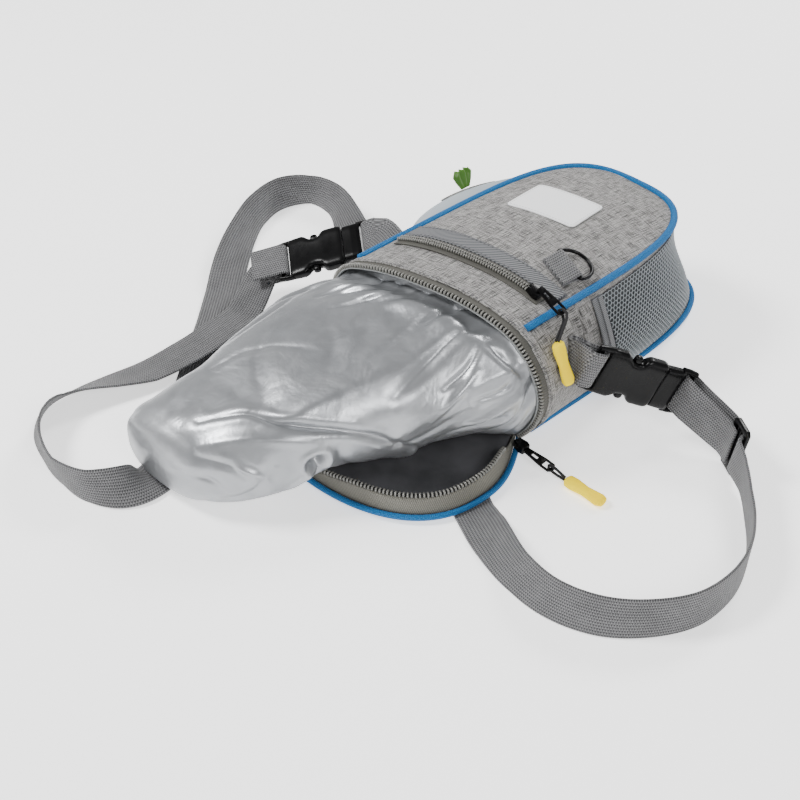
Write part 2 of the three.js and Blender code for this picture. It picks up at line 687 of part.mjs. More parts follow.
const tipFoot = dispenserSpot(slotMiddle.u, slotMiddle.v, GAP * 3.4 + slot.thickness);
const tipGrid = (side) => [
  { rise: 0, wide: 0.45 }, { rise: 0.4, wide: 0.8 }, { rise: 0.75, wide: 1 }, { rise: 1, wide: 0.7 },
].map(({ rise, wide }) => steps(3).map((s) => V(
  tipFoot.x - rise * bagTip.length * 0.35 + side * bagTip.thickness / 2,
  tipFoot.y + lerp(-0.5, 0.5, s) * wide * bagTip.width,
  tipFoot.z + rise * bagTip.length * 0.9 + 1,
)));
add('waste_bag_tip', wall(tipGrid(1), tipGrid(-1)), greenFilm);

// Side-release buckles

// Local axes: U along the webbing toward the male end, V across, N out of the flat face
function frameFrom(origin, along, across) {
  const u = along.clone().normalize();
  const v = across.clone().addScaledVector(u, -across.dot(u)).normalize();
  const n = u.clone().cross(v);
  return { origin, u, v, n, matrix: new THREE.Matrix4().makeBasis(u, v, n).setPosition(origin) };
}

function framePoint(frame, u, v, n) {
  return new THREE.Vector3(u, v, n).applyMatrix4(frame.matrix);
}

function outlineShape(points) {
  return new THREE.Shape(points.map(([x, y]) => new THREE.Vector2(x, y)));
}

function rectangleHole(u0, u1, half) {
  const corners = [[u0, -half], [u0, half], [u1, half], [u1, -half]];
  return new THREE.Path(corners.map(([x, y]) => new THREE.Vector2(x, y)));
}

const slotHalf = webbing.width / 2 + 2 * GAP;
const barEdge = 0.8;             // from a buckle's end to its bar
const slotLength = 7;
const femaleBar = -(buckle.femaleLength - buckle.bar / 2 - barEdge);
const maleBar = buckle.maleLength - buckle.bar / 2 - barEdge;

// Half outlines: u and v as shares of the piece's length and half width
const femaleOutline = [
  [0, 0.94], [-0.07, 1], [-0.26, 1], [-0.31, 0.86], [-0.35, 0.74], [-0.5, 0.74], [-0.56, 0.88], [-0.61, 0.99],
  [-0.72, 0.97], [-0.9, 0.97], [-0.97, 0.93], [-1, 0.84],
];
function femaleGeometry() {
  const half = buckle.width / 2;
  const side = femaleOutline.map(([u, v]) => [u * buckle.femaleLength, v * half]);
  const shape = outlineShape([...side, ...side.slice().reverse().map(([u, v]) => [u, -v])]);
  const slotStart = femaleBar + buckle.bar / 2;
  shape.holes.push(rectangleHole(slotStart, slotStart + slotLength, slotHalf));
  const body = toManifold(plate(shape, buckle.thickness));
  const room = new THREE.BoxGeometry(prong.length + 2, prong.room, prong.thickness + 2 * GAP);
  room.translate(-prong.length / 2, 0, 0);
  return fromManifold([1, -1].reduce(
    (piece, face) => piece.subtract(toManifold(paring(femaleBar, buckle.thickness, face))),
    body.subtract(toManifold(room)),
  ));
}

// A block that thins a buckle round its bar, on one face
function paring(bar, thickness, face) {
  const block = new THREE.BoxGeometry(slotLength + buckle.bar + 2, buckle.width * 1.1, thickness);
  return block.translate(bar + 2, 0, face * (buckle.bar / 2 + thickness / 2));
}

const maleOutline = [[1, 0.86], [0.88, 0.93]];
// Half outline of the prongs: u in mm from the junction, v as a share of the half width
const proudOutline = [
  [GAP, 0.76], [-8, 0.74], [-16.6, 0.76], [-17.6, 0.9], [-20.5, 0.93], [-22.4, 0.78], [-24.5, 0.72],
  [-29, 0.62], [-29, 0.45], [-22, 0.52], [-10, 0.5], [-3, 0.42], [-3, 0.16], [-22, 0.12],
];
function maleGeometry() {
  const half = buckle.width / 2;
  const side = [
    ...maleOutline.map(([u, v]) => [u * buckle.maleLength, v * half]),
    [GAP, 0.93 * half],
    ...proudOutline.map(([u, v]) => [u, v * half]),
  ];
  const shape = outlineShape([...side, ...side.slice().reverse().map(([u, v]) => [u, -v])]);
  const slotEnd = maleBar - buckle.bar / 2;
  shape.holes.push(rectangleHole(slotEnd - slotLength, slotEnd, slotHalf));
  const depth = slotEnd - slotLength - 1;
  const shoulder = new THREE.BoxGeometry(depth - GAP, buckle.width * 0.93, buckle.thickness * 0.9);
  shoulder.translate((depth + GAP) / 2, 0, 0);
  const body = [1, -1].reduce(
    (piece, face) => piece.subtract(toManifold(paring(maleBar, prong.thickness, face))),
    toManifold(plate(shape, prong.thickness)),
  );
  return fromManifold(body.add(toManifold(shoulder)));
}

// The buckles hang beside the bulging gusset: the points are their junctions, from its widest place
const sideX = gussetPoint(angleAt(38), 0.42).x;
const rightBuckle = frameFrom(V(sideX + 35.5, 62.5, 36.5), V(0.551, 0.736, -0.394), V(0.28, 0.37, 0.88));
const leftBuckle = frameFrom(V(-sideX - 45, 26, 39), V(0.63, 0.72, 0.29), V(-0.776, 0.571, 0.27));

for (const [side, frame] of [['right', rightBuckle], ['left', leftBuckle]]) {
  add(`buckle_female_${side}`, femaleGeometry().applyMatrix4(frame.matrix), blackPlastic);
  add(`buckle_male_${side}`, maleGeometry().applyMatrix4(frame.matrix), blackPlastic);
}

// Stations of webbing that wraps a buckle's bar: it comes in on one face and leaves on the other
function wrap(frame, barAt, toward, reachIn, reachOut, face = 1) {
  const r = buckle.bar * Math.SQRT1_2 + 3 * GAP + webbing.thickness / 2;
  const at = (u, n) => ({ point: framePoint(frame, barAt + u, 0, n * face), across: frame.v });
  const leg = (reach, side) => ({
    ...at(-toward * reach, side * r),
    heading: frame.u.clone().multiplyScalar(side * toward),
  });
  return [
    ...reachIn.map((reach) => leg(reach, 1)),
    ...steps(8).map((s) => at(toward * r * Math.sin(Math.PI * s), r * Math.cos(Math.PI * s))),
    ...reachOut.map((reach) => leg(reach, -1)),
  ];
}

// Webbing loops that carry the buckles: square off a seat on the gusset, round the bar and back
const loopSeats = {
  right: { frame: rightBuckle, bar: femaleBar, toward: 1, along: 28, height: 55 },
  left: { frame: leftBuckle, bar: maleBar, toward: -1, along: 41, height: 46 },
};
const LOOP_SPREAD = 1.6;         // half the distance between a loop's two ends on the gusset
const SEAT_PROUD = 4 * GAP;      // a flat loop end over the bulging gusset

for (const [side, seat] of Object.entries(loopSeats)) {
  const angle = side === 'right' ? angleAt(seat.along) : Math.PI - angleAt(seat.along);
  const share = (front.seamHeight - seat.height) / (front.seamHeight - piping.radius);
  const out = gussetNormal(angle, share);
  const across = seat.frame.v.clone().addScaledVector(out, -seat.frame.v.dot(out)).normalize();
  const apart = out.clone().cross(across).multiplyScalar(seat.toward);
  const foot = lean(gussetPoint(angle, share)).addScaledVector(out, SEAT_PROUD);
  const end = (sign) => ({
    point: foot.clone().addScaledVector(apart, sign * LOOP_SPREAD),
    across,
    heading: out.clone().multiplyScalar(sign),
  });
  const turn = wrap(seat.frame, seat.bar, seat.toward, [5.5], [5.5]);
  add(`side_loop_${side}`, strip([end(1), ...turn, end(-1)], webbing.width, webbing.thickness), greyWeb);
}

// Adjuster slide, standing on its end where the right loop of the strap starts
const slideFrame = frameFrom(V(167.2, 72.4, 15.6), V(0.86, -0.5, -0.05), V(0.05, 0.15, 0.987));
const slideGap = slide.length / 2 - slide.bar * 1.5;
function slideGeometry() {
  const half = slide.width / 2;
  const end = slide.length / 2;
  const shape = outlineShape([
    [end, half - 2], [end - 2, half], [2 - end, half], [-end, half - 2],
    [-end, 2 - half], [2 - end, -half], [end - 2, -half], [end, 2 - half],
  ]);
  return pierced(plate(shape, slide.thickness), [-1, 1].map((side) => ({
    at: side * (slide.bar / 2 + slideGap / 2), length: slideGap, half: slotHalf,
  })));
}
add('adjuster_slide', slideGeometry().applyMatrix4(slideFrame.matrix), blackPlastic);

// Strap: webbing that is sewn to the slide, goes round the right buckle's bar and back through the
// slide, then round the right loop, under the lid and the pouch, round the two left loops, and over
// itself to the left buckle. It is cut in two under the pouch, so that each run is a simple piece.

// Middle line on the surface, hand-chosen; lean is from upright toward the left of travel, in degrees
const strapRoute = [
  { x: 185, y: 56.5, lean: 0, lift: 2.5 }, { x: 200, y: 41.5, lean: 0, lift: 0.6 },
  { x: 213.5, y: 26, lean: 2, lift: 0 }, { x: 225, y: 7, lean: 3, lift: 0 },
  { x: 231.5, y: -16, lean: 0, lift: 0 }, { x: 230, y: -42, lean: -4, lift: 0 },
  { x: 217.5, y: -65, lean: -9, lift: 0 }, { x: 198, y: -83, lean: -14, lift: 0 },
  { x: 172, y: -92, lean: -18, lift: 0 }, { x: 145, y: -90, lean: -28, lift: 0 },
  { x: 118, y: -80, lean: -52, lift: 0 }, { x: 98, y: -69.5, lean: -80, lift: 0 },
  { x: 86, y: -63.5, lean: -90, lift: 0 }, { x: 60, y: -49, lean: -90, lift: 0 },
  { x: 0, y: -18, lean: -90, lift: 0 }, { x: -60, y: 14, lean: -90, lift: 0 },
  { x: -120, y: 47, lean: -90, lift: 0 }, { x: -152, y: 67, lean: -76, lift: 0 },
  { x: -180, y: 81, lean: -48, lift: 0 }, { x: -207, y: 91, lean: -18, lift: 0 },
  { x: -229, y: 87, lean: 4, lift: 0 }, { x: -240, y: 68, lean: -12, lift: 0 },
  { x: -235, y: 42, lean: -22, lift: 0 }, { x: -220, y: 16, lean: -36, lift: 0 },
  { x: -202, y: -9, lean: -60, lift: 0 }, { x: -181, y: -33, lean: -84, lift: 0 },
  { x: -160, y: -57, lean: -90, lift: 0 }, { x: -125, y: -98, lean: -90, lift: 0 },
  { x: -92, y: -136, lean: -90, lift: 0 }, { x: -70, y: -163, lean: -90, lift: 0 },
  { x: -58, y: -183, lean: -78, lift: 0 }, { x: -57, y: -203, lean: -34, lift: 0 },
  { x: -70, y: -219, lean: 0, lift: 0 }, { x: -93, y: -224, lean: 12, lift: 0 },
  { x: -119, y: -218, lean: 0, lift: 0 }, { x: -140, y: -206, lean: -22, lift: 0 },
  { x: -152, y: -188, lean: -44, lift: 0 }, { x: -152, y: -168, lean: -56, lift: 0.5 },
  { x: -147, y: -147, lean: -72, lift: 2 }, { x: -141, y: -125, lean: -86, lift: 4 },
  { x: -139, y: -100, lean: -90, lift: 6.5 }, { x: -141, y: -72, lean: -90, lift: 7.5 },
  { x: -146, y: -45, lean: -90, lift: 7 },
];

// Height of the strap's middle line where an edge or a face rests on the surface
function restHeight(across) {
  const upright = Math.min(Math.abs(across.z), 1);
  return FLOOR + webbing.width / 2 * upright + webbing.thickness / 2 * Math.sqrt(1 - upright ** 2);
}

function strapStations() {
  const clear = slide.thickness / 2 + 4 * GAP + webbing.thickness / 2;
  const atSlide = (u, n) => ({ point: framePoint(slideFrame, u, 0, n), across: slideFrame.v });
  const sewn = [atSlide(slide.bar / 4, clear), atSlide(-slide.length / 2, clear)];
  const barPoint = framePoint(rightBuckle, maleBar, 0, 0);
  const hang = frameFrom(barPoint, slideFrame.origin.clone().sub(barPoint), rightBuckle.v);
  const turn = wrap(hang, 0, -1, [9, 4.5], [4.5, 9]);
  const slotMiddle = slide.bar / 2 + slideGap / 2;
  const through = [
    atSlide(-slide.length / 2, -clear), atSlide(slotMiddle - 2.3, -clear), atSlide(slotMiddle - 0.5, -1.6),
    atSlide(slotMiddle + 0.5, 1.6), atSlide(slotMiddle + 2.3, clear),
  ];
  const route = strapRoute.map((row, i) => {
    const a = strapRoute[Math.max(i - 1, 0)];
    const b = strapRoute[Math.min(i + 1, strapRoute.length - 1)];
    const along = V(b.x - a.x, b.y - a.y, 0).normalize();
    const left = V(-along.y, along.x, 0);
    const angle = radians(row.lean);
    const across = V(0, 0, Math.cos(angle)).addScaledVector(left, Math.sin(angle));
    return { point: V(row.x, row.y, restHeight(across) + row.lift), across, lift: row.lift };
  });
  const flipped = { ...leftBuckle, v: leftBuckle.v.clone().negate() };
  const end = wrap(flipped, femaleBar, 1, [13, 6], [6, 13, 20], -1);
  return [...sewn, ...turn, ...through, ...route, ...end];
}

// A smooth run through chosen stations, with the width direction turned evenly between them
function smooth(stations, stepLength) {
  const curve = new THREE.CatmullRomCurve3(stations.map((s) => s.point), false, 'centripetal');
  const result = [];
  for (let i = 0; i < stations.length - 1; i++) {
    const span = stations[i].point.distanceTo(stations[i + 1].point);
    const count = Math.max(1, Math.round(span / stepLength));
    for (let k = 0; k < count; k++) {
      const share = k / count;
      const point = curve.getPoint((i + share) / (stations.length - 1));
      const across = stations[i].across.clone().lerp(stations[i + 1].across, share).normalize();
      const [a, b] = [stations[i].lift, stations[i + 1].lift];
      if (a !== undefined && b !== undefined) point.z = restHeight(across) + lerp(a, b, share);
      result.push({ point, across, heading: k === 0 ? stations[i].heading : undefined });
    }
  }
  result.push(stations[stations.length - 1]);
  return result;
}

const STRAP_STEP = 11;           // length of a flat of the strap
const STRAP_CUT = 20;            // x of the cut under the pouch
const strap = smooth(strapStations(), STRAP_STEP);
const cut = strap.findIndex((station) => station.point.x < STRAP_CUT);
const cutEnd = strap[cut].point.clone();
cutEnd.addScaledVector(cutEnd.clone().sub(strap[cut - 1].point).normalize(), -GAP);
const rightRun = [...strap.slice(0, cut), { point: cutEnd, across: strap[cut].across }];
add('strap_right', strip(rightRun, webbing.width, webbing.thickness), greyWeb);
add('strap_left', strip(strap.slice(cut), webbing.width, webbing.thickness), greyWeb);

// Zip pulls: a slider, a tab, a looped cord and a soft grip

function tabGeometry() {
  const half = pull.tabWidth / 2;
  const end = pull.tabLength;
  const shape = outlineShape([
    [0, -half * 0.6], [end * 0.25, -half * 0.75], [end * 0.6, -half], [end - 2, -half], [end, -half * 0.4],
    [end, half * 0.4], [end - 2, half], [end * 0.6, half], [end * 0.25, half * 0.75], [0, half * 0.6],
  ]);
  return pierced(plate(shape, pull.tabThickness), [
    { at: end - 5, length: 5.1, half: half - 1.3 }, { at: end * 0.31, length: end * 0.22, half: half * 0.3 },
  ]);
}

function sliderGeometry() {
  const half = slider.width / 2;
  const end = slider.length / 2;
  const shape = outlineShape([
    [-end, -half * 0.65], [end * 0.3, -half], [end, -half * 0.8],
    [end, half * 0.8], [end * 0.3, half], [-end, half * 0.65],
  ]);
  return plate(shape, slider.height);
}

// The cord loops through the tab's hole, and both strands meet at the grip
function cordPath(frame, end, along) {
  const r = pull.tabThickness / 2 + GAP + pull.cord / 2;
  const inside = pull.tabLength - 2.4 - GAP - pull.cord / 2;
  const close = pull.cord / 2 + GAP / 2;
  const apart = frame.n.clone().addScaledVector(along, -frame.n.dot(along)).normalize();
  const side = (sign) => [
    end.clone().addScaledVector(apart, sign * close),
    framePoint(frame, pull.tabLength + 1, 0, sign * r * 1.15),
    framePoint(frame, inside, 0, sign * r * 0.75),
  ];
  const points = [...side(1), framePoint(frame, inside - 0.4, 0, 0), ...side(-1).reverse()];
  return new THREE.CatmullRomCurve3(points, false, 'centripetal').getSpacedPoints(13);
}

function gripGeometry() {
  const profile = [
    [0, 0], [0.62, 0], [0.95, 0.05], [1, 0.2], [0.8, 0.5], [0.92, 0.75], [1, 0.88], [0.75, 0.98], [0, 1],
  ].map(([r, s]) => new THREE.Vector2(r * grip.radius, s * grip.length));
  return new THREE.LatheGeometry(profile, 10).scale(1, 1, grip.waist / grip.radius);
}

// The slider and the tab have frames of their own; the grip hangs from a point in a direction
function addPull(name, seat, hang, end, along) {
  add(`${name}_slider`, sliderGeometry().applyMatrix4(seat.matrix), blackPlastic);
  add(`${name}_tab`, tabGeometry().applyMatrix4(hang.matrix), blackPlastic);
  const cord = rod(cordPath(hang, end, along), pull.cord / 2, { sides: 8, toward: hang.v });
  add(`${name}_cord`, cord, blackPlastic);
  const across = hang.v.clone().addScaledVector(along, -hang.v.dot(along)).normalize();
  const matrix = new THREE.Matrix4().makeBasis(across, along, across.clone().cross(along));
  matrix.setPosition(end.clone().addScaledVector(along, 3 * GAP));
  add(`${name}_grip`, gripGeometry().applyMatrix4(matrix), yellowRubber);
}

const GRIP_ALONG = 16.5;         // the pocket's grip, from the mouth edge
const tabLift = slider.height / 2 + GAP + pull.tabThickness / 2;
const seatHeight = chainHeight + slider.height / 2 - pocketZip.teethRadius;
const pocketSeatPoint = onFront(sliderSpot, pocketZip.along, seatHeight);
const pocketSeat = frameFrom(pocketSeatPoint, V(1, 0.1, -0.35), V(0, 1, 0));
const pocketHinge = framePoint(pocketSeat, slider.length / 2 - 3, 0, tabLift + 0.8);
const pocketHang = frameFrom(pocketHinge, V(0.84, 0.12, -0.5), V(0, 1, 0.1));
// The pocket's grip hangs over the piping and lies along the gusset
const besideGusset = (share, proud) => lean(gussetPoint(angleAt(GRIP_ALONG), share, proud));
const pocketEnd = besideGusset(0.08, 2 * grip.radius + GAP);
const pocketAlong = besideGusset(0.43, grip.radius + GAP).sub(pocketEnd).normalize();
addPull('pocket_pull', pocketSeat, pocketHang, pocketEnd, pocketAlong);

// The mouth's slider lies past the lid's corner, and its grip lies on the surface
const lidCorner = lid.width / 2 * lid.hingeShare;
const lidSeat = frameFrom(V(lidCorner + 12.9, -9.5, 6.5), V(1, -0.1, -0.08), V(0.1, 1, 0));
const lidHinge = framePoint(lidSeat, slider.length / 2 + GAP, 0, 0);
const lidHang = frameFrom(lidHinge, V(1, 0.05, -0.14), V(0, 1, 0.1));
const lidEnd = framePoint(lidHang, pull.tabLength + 9, 0, 0).setZ(FLOOR + grip.waist + GAP / 2);
addPull('mouth_pull', lidSeat, lidHang, lidEnd, V(1, 0.02, 0).normalize());

export default pouch;
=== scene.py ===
"""Looks of the dog treat pouch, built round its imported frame.

Lengths are millimetres in the pouch's own frame, with y = 0 at the mouth edge, until placed() moves
them to the frame's origin and turns them into metres.
"""
import math

import bmesh
import bpy
import numpy as np
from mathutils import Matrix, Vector, noise


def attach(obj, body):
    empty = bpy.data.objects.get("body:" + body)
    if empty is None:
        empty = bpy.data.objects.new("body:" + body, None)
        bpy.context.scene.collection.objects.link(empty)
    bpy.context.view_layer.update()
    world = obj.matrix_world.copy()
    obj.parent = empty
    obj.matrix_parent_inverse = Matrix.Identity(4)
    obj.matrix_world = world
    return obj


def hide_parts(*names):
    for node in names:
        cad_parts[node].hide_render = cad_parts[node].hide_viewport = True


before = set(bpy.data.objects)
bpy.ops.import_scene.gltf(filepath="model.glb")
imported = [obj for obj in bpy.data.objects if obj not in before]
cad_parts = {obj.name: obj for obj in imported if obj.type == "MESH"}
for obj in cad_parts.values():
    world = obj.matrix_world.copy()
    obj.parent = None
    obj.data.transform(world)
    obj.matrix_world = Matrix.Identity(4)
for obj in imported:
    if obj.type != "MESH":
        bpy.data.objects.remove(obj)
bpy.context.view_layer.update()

MM = 0.001
ORIGIN_FROM_MOUTH = 100
POUCH = "pouch"
RING = "ring"

# Sizes, most of them the part's own

GAP = 0.3
FRONT = {"width": 120, "length": 176, "height": 79, "crown": 13, "thickness": 2.5}
BACK = {"width": 126, "length": 208, "thickness": 3}
CORNER_ALONG, CORNER_ACROSS = 5, 2.9
MOUTH_BULGE = 21
SHELL_THICKNESS = 1.5
PIPING_RADIUS = 2
TAPE_WIDTH, TAPE_THICKNESS = 8.5, 1
TOP_LEAN, SIDE_SKEW, LEAN_REACH = -16, 10, 60
TEETH_RADIUS = 1.3
LID = {"width": 168, "length": 115, "hinge": 0.72, "widest": 0.45, "thickness": 2}
LID_BAND_HEIGHT, LID_BAND_THICKNESS, LID_BAND_LEAN, LID_PIPING_RADIUS = 9, 1, 4, 1.8
LINER_LENGTH, LINER_START = 186, 6
WEB_WIDTH, WEB_THICKNESS = 25, 1.5
ZIP = {"width": 104, "tape": 9, "along": 31, "teeth": 0.9}
BAND = {"width": 112, "start": 36.2, "end": 46.5, "thickness": 1.2}
LABEL = {"width": 49, "length": 35, "thickness": 0.8, "across": -8, "along": 105, "turn": 7.5}
RING_TAB = {"width": 22, "length": 12, "thickness": 1.2}
D_RING = {"width": 27, "depth": 18, "wire": 2.4, "droop": 12.5, "across": 42.5, "along": 62, "turn": -14}
NET = {"proud": 4, "start": 66, "end_turn": 0.46}
NET_EDGE_WIDTH = 8
SLOT = {"length": 34, "width": 5}
BUCKLE = {"width": 33, "thickness": 9, "female": 46, "male": 21, "bar": 3.6}
SLIDE = {"length": 17, "thickness": 3}
FLOOR = -(WEB_THICKNESS + GAP)
SHELL_START = TAPE_WIDTH + 2 * GAP
SEAM_INSET = PIPING_RADIUS + GAP
SIDE_HEIGHT = FRONT["height"] - PIPING_RADIUS
GUSSET_TRIM = SEAM_INSET / SIDE_HEIGHT

# Sizes of the looks alone

# The cloth is dented inward at the round end, where the part keeps a slight bulge
END_BULGE = -9
PIPING_PLUMP = 1.17
# Fuller than the part's pocket, with its top and bottom as shares of the gusset's height
DISPENSER = {"depth": 29, "from": 50, "to": 142, "top": 0.045, "bottom": 0.72, "thickness": 1.2}
# How far the front's cloth ends before its seam, and the last rows of both panels before the round end
CLOTH_EDGE = 0.9
FRONT_END, BACK_END = 40, 45
POCKET_TAPE = 1
# Zip teeth: pitch, and half sizes along, across and out
MOUTH_TEETH = (2.3, (0.72, 1.9, 1.55))
LID_TEETH = (2.3, (0.72, 1.7, 1.5))
POCKET_TEETH = (1.75, (0.62, 1.15, 1.15))
# A dart folded into the gusset beside the right loop
DART = {"along": 49, "sway": -12, "depth": 4.0, "width": 1.5, "reach": 0.6, "shoulder": 2.6, "spread": 2.2}
# Cloth ripples: scale, height and seed
GUSSET_RIPPLE = (26, 0.45, 0)
FRONT_RIPPLE = (34, 0.9, 5)
LINING_RIPPLE = (22, 1.2, 0)
LINER_RIPPLES = [(52, 1.8, 3), (19, 0.35, 8)]
NET_PITCH, NET_THREAD, NET_FULL = 3.1, 0.34, 1.12
NET_BINDING_RISE = 1.2
BAG_TIP = {"width": 17, "height": 13, "lean": 0.35, "rise": 0.9, "half_thickness": 0.4}
BAG_TIP_WAVE = {"height": 1.1, "turn": 19}
# Length of a stitch, and the pitch of stitches as a multiple of it
STITCH = 2.1
STITCH_PITCH = 1.45
LABEL_STITCH = 1.5


# Camera, floor and lights

CAMERA_PLACE = Vector((0.5206, -0.635, 0.5952))
CAMERA_TARGET = Vector((0.0134, -0.152, 0.030))
CAMERA_LENS = 68.4
LIGHT_TARGET = Vector((0, -0.1, 0.03))
# Name, place, size of the disk and power
LIGHTS = [("key", (-0.8, -0.8, 1.3), 0.5, 30), ("fill", (1.2, -0.5, 1.0), 0.6, 12),
          ("rim", (-0.2, 1.1, 1.0), 0.5, 16)]
FLOOR_HALF = 3.0
FLOOR_DROP = 0.0002
# How the sky fades: from and to in height, then strength at each
SKY_FADE = (0.05, 0.9, 0.75, 0.3)


def aimed(name, data, place, target):
    """An object at a place that looks at a target"""
    thing = bpy.data.objects.new(name, data)
    thing.location = place
    thing.rotation_euler = (target - Vector(place)).to_track_quat("-Z", "Y").to_euler()
    bpy.context.scene.collection.objects.link(thing)
    return thing


def make_camera():
    data = bpy.data.cameras.new("camera")
    data.sensor_fit = "HORIZONTAL"
    data.sensor_width = 36
    data.lens = CAMERA_LENS
    data.clip_start = 0.05
    bpy.context.scene.camera = aimed("camera", data, CAMERA_PLACE, CAMERA_TARGET)


def make_studio():
    mesh = bpy.data.meshes.new("floor")
    level = FLOOR * MM - FLOOR_DROP
    corners = [(x * FLOOR_HALF, y * FLOOR_HALF, level) for x, y in ((-1, -1), (1, -1), (1, 1), (-1, 1))]
    mesh.from_pydata(corners, [], [(0, 1, 2, 3)])
    floor = bpy.data.objects.new("floor", mesh)
    bpy.context.scene.collection.objects.link(floor)
    paint = Graph("floor_paint")
    paint.set(Base_Color=grey(0.97), Roughness=0.8, Emission_Color=grey(1), Emission_Strength=1.0)
    mesh.materials.append(paint.material)
    for name, place, size, power in LIGHTS:
        data = bpy.data.lights.new(name, "AREA")
        data.shape = "DISK"
        data.size = size
        data.energy = power
        aimed(name, data, place, LIGHT_TARGET)
    world = bpy.data.worlds.new("studio")
    world.use_nodes = True
    tree = world.node_tree
    sky = tree.nodes["Background"]
    place = tree.nodes.new("ShaderNodeTexCoord")
    parts = tree.nodes.new("ShaderNodeSeparateXYZ")
    fade = tree.nodes.new("ShaderNodeMapRange")
    for index, value in enumerate(SKY_FADE):
        fade.inputs[index + 1].default_value = value
    sky.inputs["Color"].default_value = grey(1)
    tree.links.new(place.outputs["Generated"], parts.inputs[0])
    tree.links.new(parts.outputs[2], fade.inputs[0])
    tree.links.new(fade.outputs[0], sky.inputs["Strength"])
    bpy.context.scene.world = world


# Lines of points

def units(vectors):
    """The same directions, each at length one"""
    return vectors / np.linalg.norm(vectors, axis=-1, keepdims=True)


def unit(v):
    return units(np.array(v, float))


def directions(path):
    return units(np.gradient(path, axis=0))


def run_along(points):
    """Distance along a line at each of its points"""
    return np.concatenate([[0], np.cumsum(np.linalg.norm(np.diff(points, axis=0), axis=1))])


def resampled(points, count):
    """Points spaced evenly along a line"""
    run = run_along(points)
    at = np.linspace(0, run[-1], count)
    return np.stack([np.interp(at, run, points[:, k]) for k in range(3)], -1)


def mesh_of(first, second):
    """Two grids of values, the first running down the rows and the second along them"""
    return np.meshgrid(first, second, indexing="ij")


def evenly(path, spacing):
    """Points along a line at an even spacing, with their directions"""
    path = np.asarray(path, float)
    points = resampled(path, max(int(run_along(path)[-1] / spacing), 2))
    return points, directions(points)


def catmull(points, segment, t):
    """A point of the centripetal curve through chosen points"""
    p1, p2 = points[segment], points[segment + 1]
    p0 = points[segment - 1] if segment > 0 else 2 * p1 - p2
    p3 = points[segment + 2] if segment + 2 < len(points) else 2 * p2 - p1
    d0, d1, d2 = [max(math.sqrt(np.linalg.norm(b - a)), 1e-4) for a, b in ((p0, p1), (p1, p2), (p2, p3))]
    m1 = ((p1 - p0) / d0 - (p2 - p0) / (d0 + d1) + (p2 - p1) / d1) * d1
    m2 = ((p2 - p1) / d1 - (p3 - p1) / (d1 + d2) + (p3 - p2) / d2) * d1
    return hermite(t, p1, m1, p2, m2)


def hermite(t, start, leaving, end, arriving):
    return ((2 * t ** 3 - 3 * t ** 2 + 1) * start + (t ** 3 - 2 * t ** 2 + t) * leaving
            + (-2 * t ** 3 + 3 * t ** 2) * end + (t ** 3 - t ** 2) * arriving)


# Form of the pouch

def lean(points):
    """The top of the mouth leans forward, more on the left, and the lean fades along the pouch"""
    p = np.array(points, float)
    height = p[..., 2] / FRONT["height"]
    shift = height * (TOP_LEAN + SIDE_SKEW * p[..., 0] / (FRONT["width"] / 2))
    p[..., 1] += shift * np.exp(-((p[..., 1] / LEAN_REACH) ** 2))
    return p


def placed(points):
    return (np.asarray(points, float) - (0, ORIGIN_FROM_MOUTH, 0)) * MM


def powered(value, exponent):
    return np.sign(value) * np.abs(value) ** exponent


def outline(panel, angle):
    """Points of a panel's outline, from the right mouth corner round the end to the left one"""
    angle = np.asarray(angle, float)
    x = powered(np.cos(angle), 2 / CORNER_ACROSS) * panel["width"] / 2
    y = SHELL_START + (panel["length"] - SHELL_START) * np.abs(np.sin(angle)) ** (2 / CORNER_ALONG)
    return np.stack([x, y], -1)


def outward(angle):
    step = 0.004
    low = outline(FRONT, np.clip(angle - step, 0, math.pi))
    high = outline(FRONT, np.clip(np.asarray(angle) + step, 0, math.pi))
    along = units(high - low)
    return np.stack([along[..., 1], -along[..., 0], np.zeros(along.shape[:-1])], -1)


ARC_ANGLE = np.linspace(0, math.pi, 6001)
ARC_RUN = run_along(outline(FRONT, ARC_ANGLE))


def even_angles(count):
    """Outline angles spaced evenly along the front seam"""
    return np.interp(np.linspace(0, 1, count) * ARC_RUN[-1], ARC_RUN, ARC_ANGLE)


def run_of(angle):
    return float(np.interp(angle, ARC_ANGLE, ARC_RUN))


def angle_at(y):
    share = np.clip((np.asarray(y, float) - SHELL_START) / (FRONT["length"] - SHELL_START), 0, 1)
    return np.arcsin(share ** (CORNER_ALONG / 2))


def gusset(angle, share, proud=0.0):
    """Points of the gusset before the lean: share runs from the front seam to the back seam"""
    angle, share = np.broadcast_arrays(np.asarray(angle, float), np.asarray(share, float))
    top = outline(FRONT, angle)
    foot = outline(BACK, angle)
    along = np.clip(top[..., 1] / FRONT["length"], 0, 1)
    bulge = (MOUTH_BULGE + (END_BULGE - MOUTH_BULGE) * along) * 4 * share * (1 - share)
    flat = top + (foot - top) * share[..., None]
    z = FRONT["height"] - SIDE_HEIGHT * share
    return np.concatenate([flat, z[..., None]], -1) + outward(angle) * (bulge + proud)[..., None]


def half_width(panel, y):
    share = np.clip(np.asarray(y, float) / panel["length"], 0, 1)
    return panel["width"] / 2 * (1 - share ** CORNER_ALONG) ** (1 / CORNER_ACROSS)


def front_height(x, y):
    across = np.clip(np.abs(x) / np.maximum(half_width(FRONT, y), 1), 0, 1)
    along = np.clip(np.asarray(y, float) / FRONT["length"], 0, 1)
    return FRONT["height"] + FRONT["crown"] * (1 - across ** 2.4) * (1 - along ** 3)


def on_front(x, y, proud=0.0):
    x, y = np.broadcast_arrays(np.asarray(x, float), np.asarray(y, float))
    return lean(np.stack([x, y, front_height(x, y) + proud], -1))


# Meshes

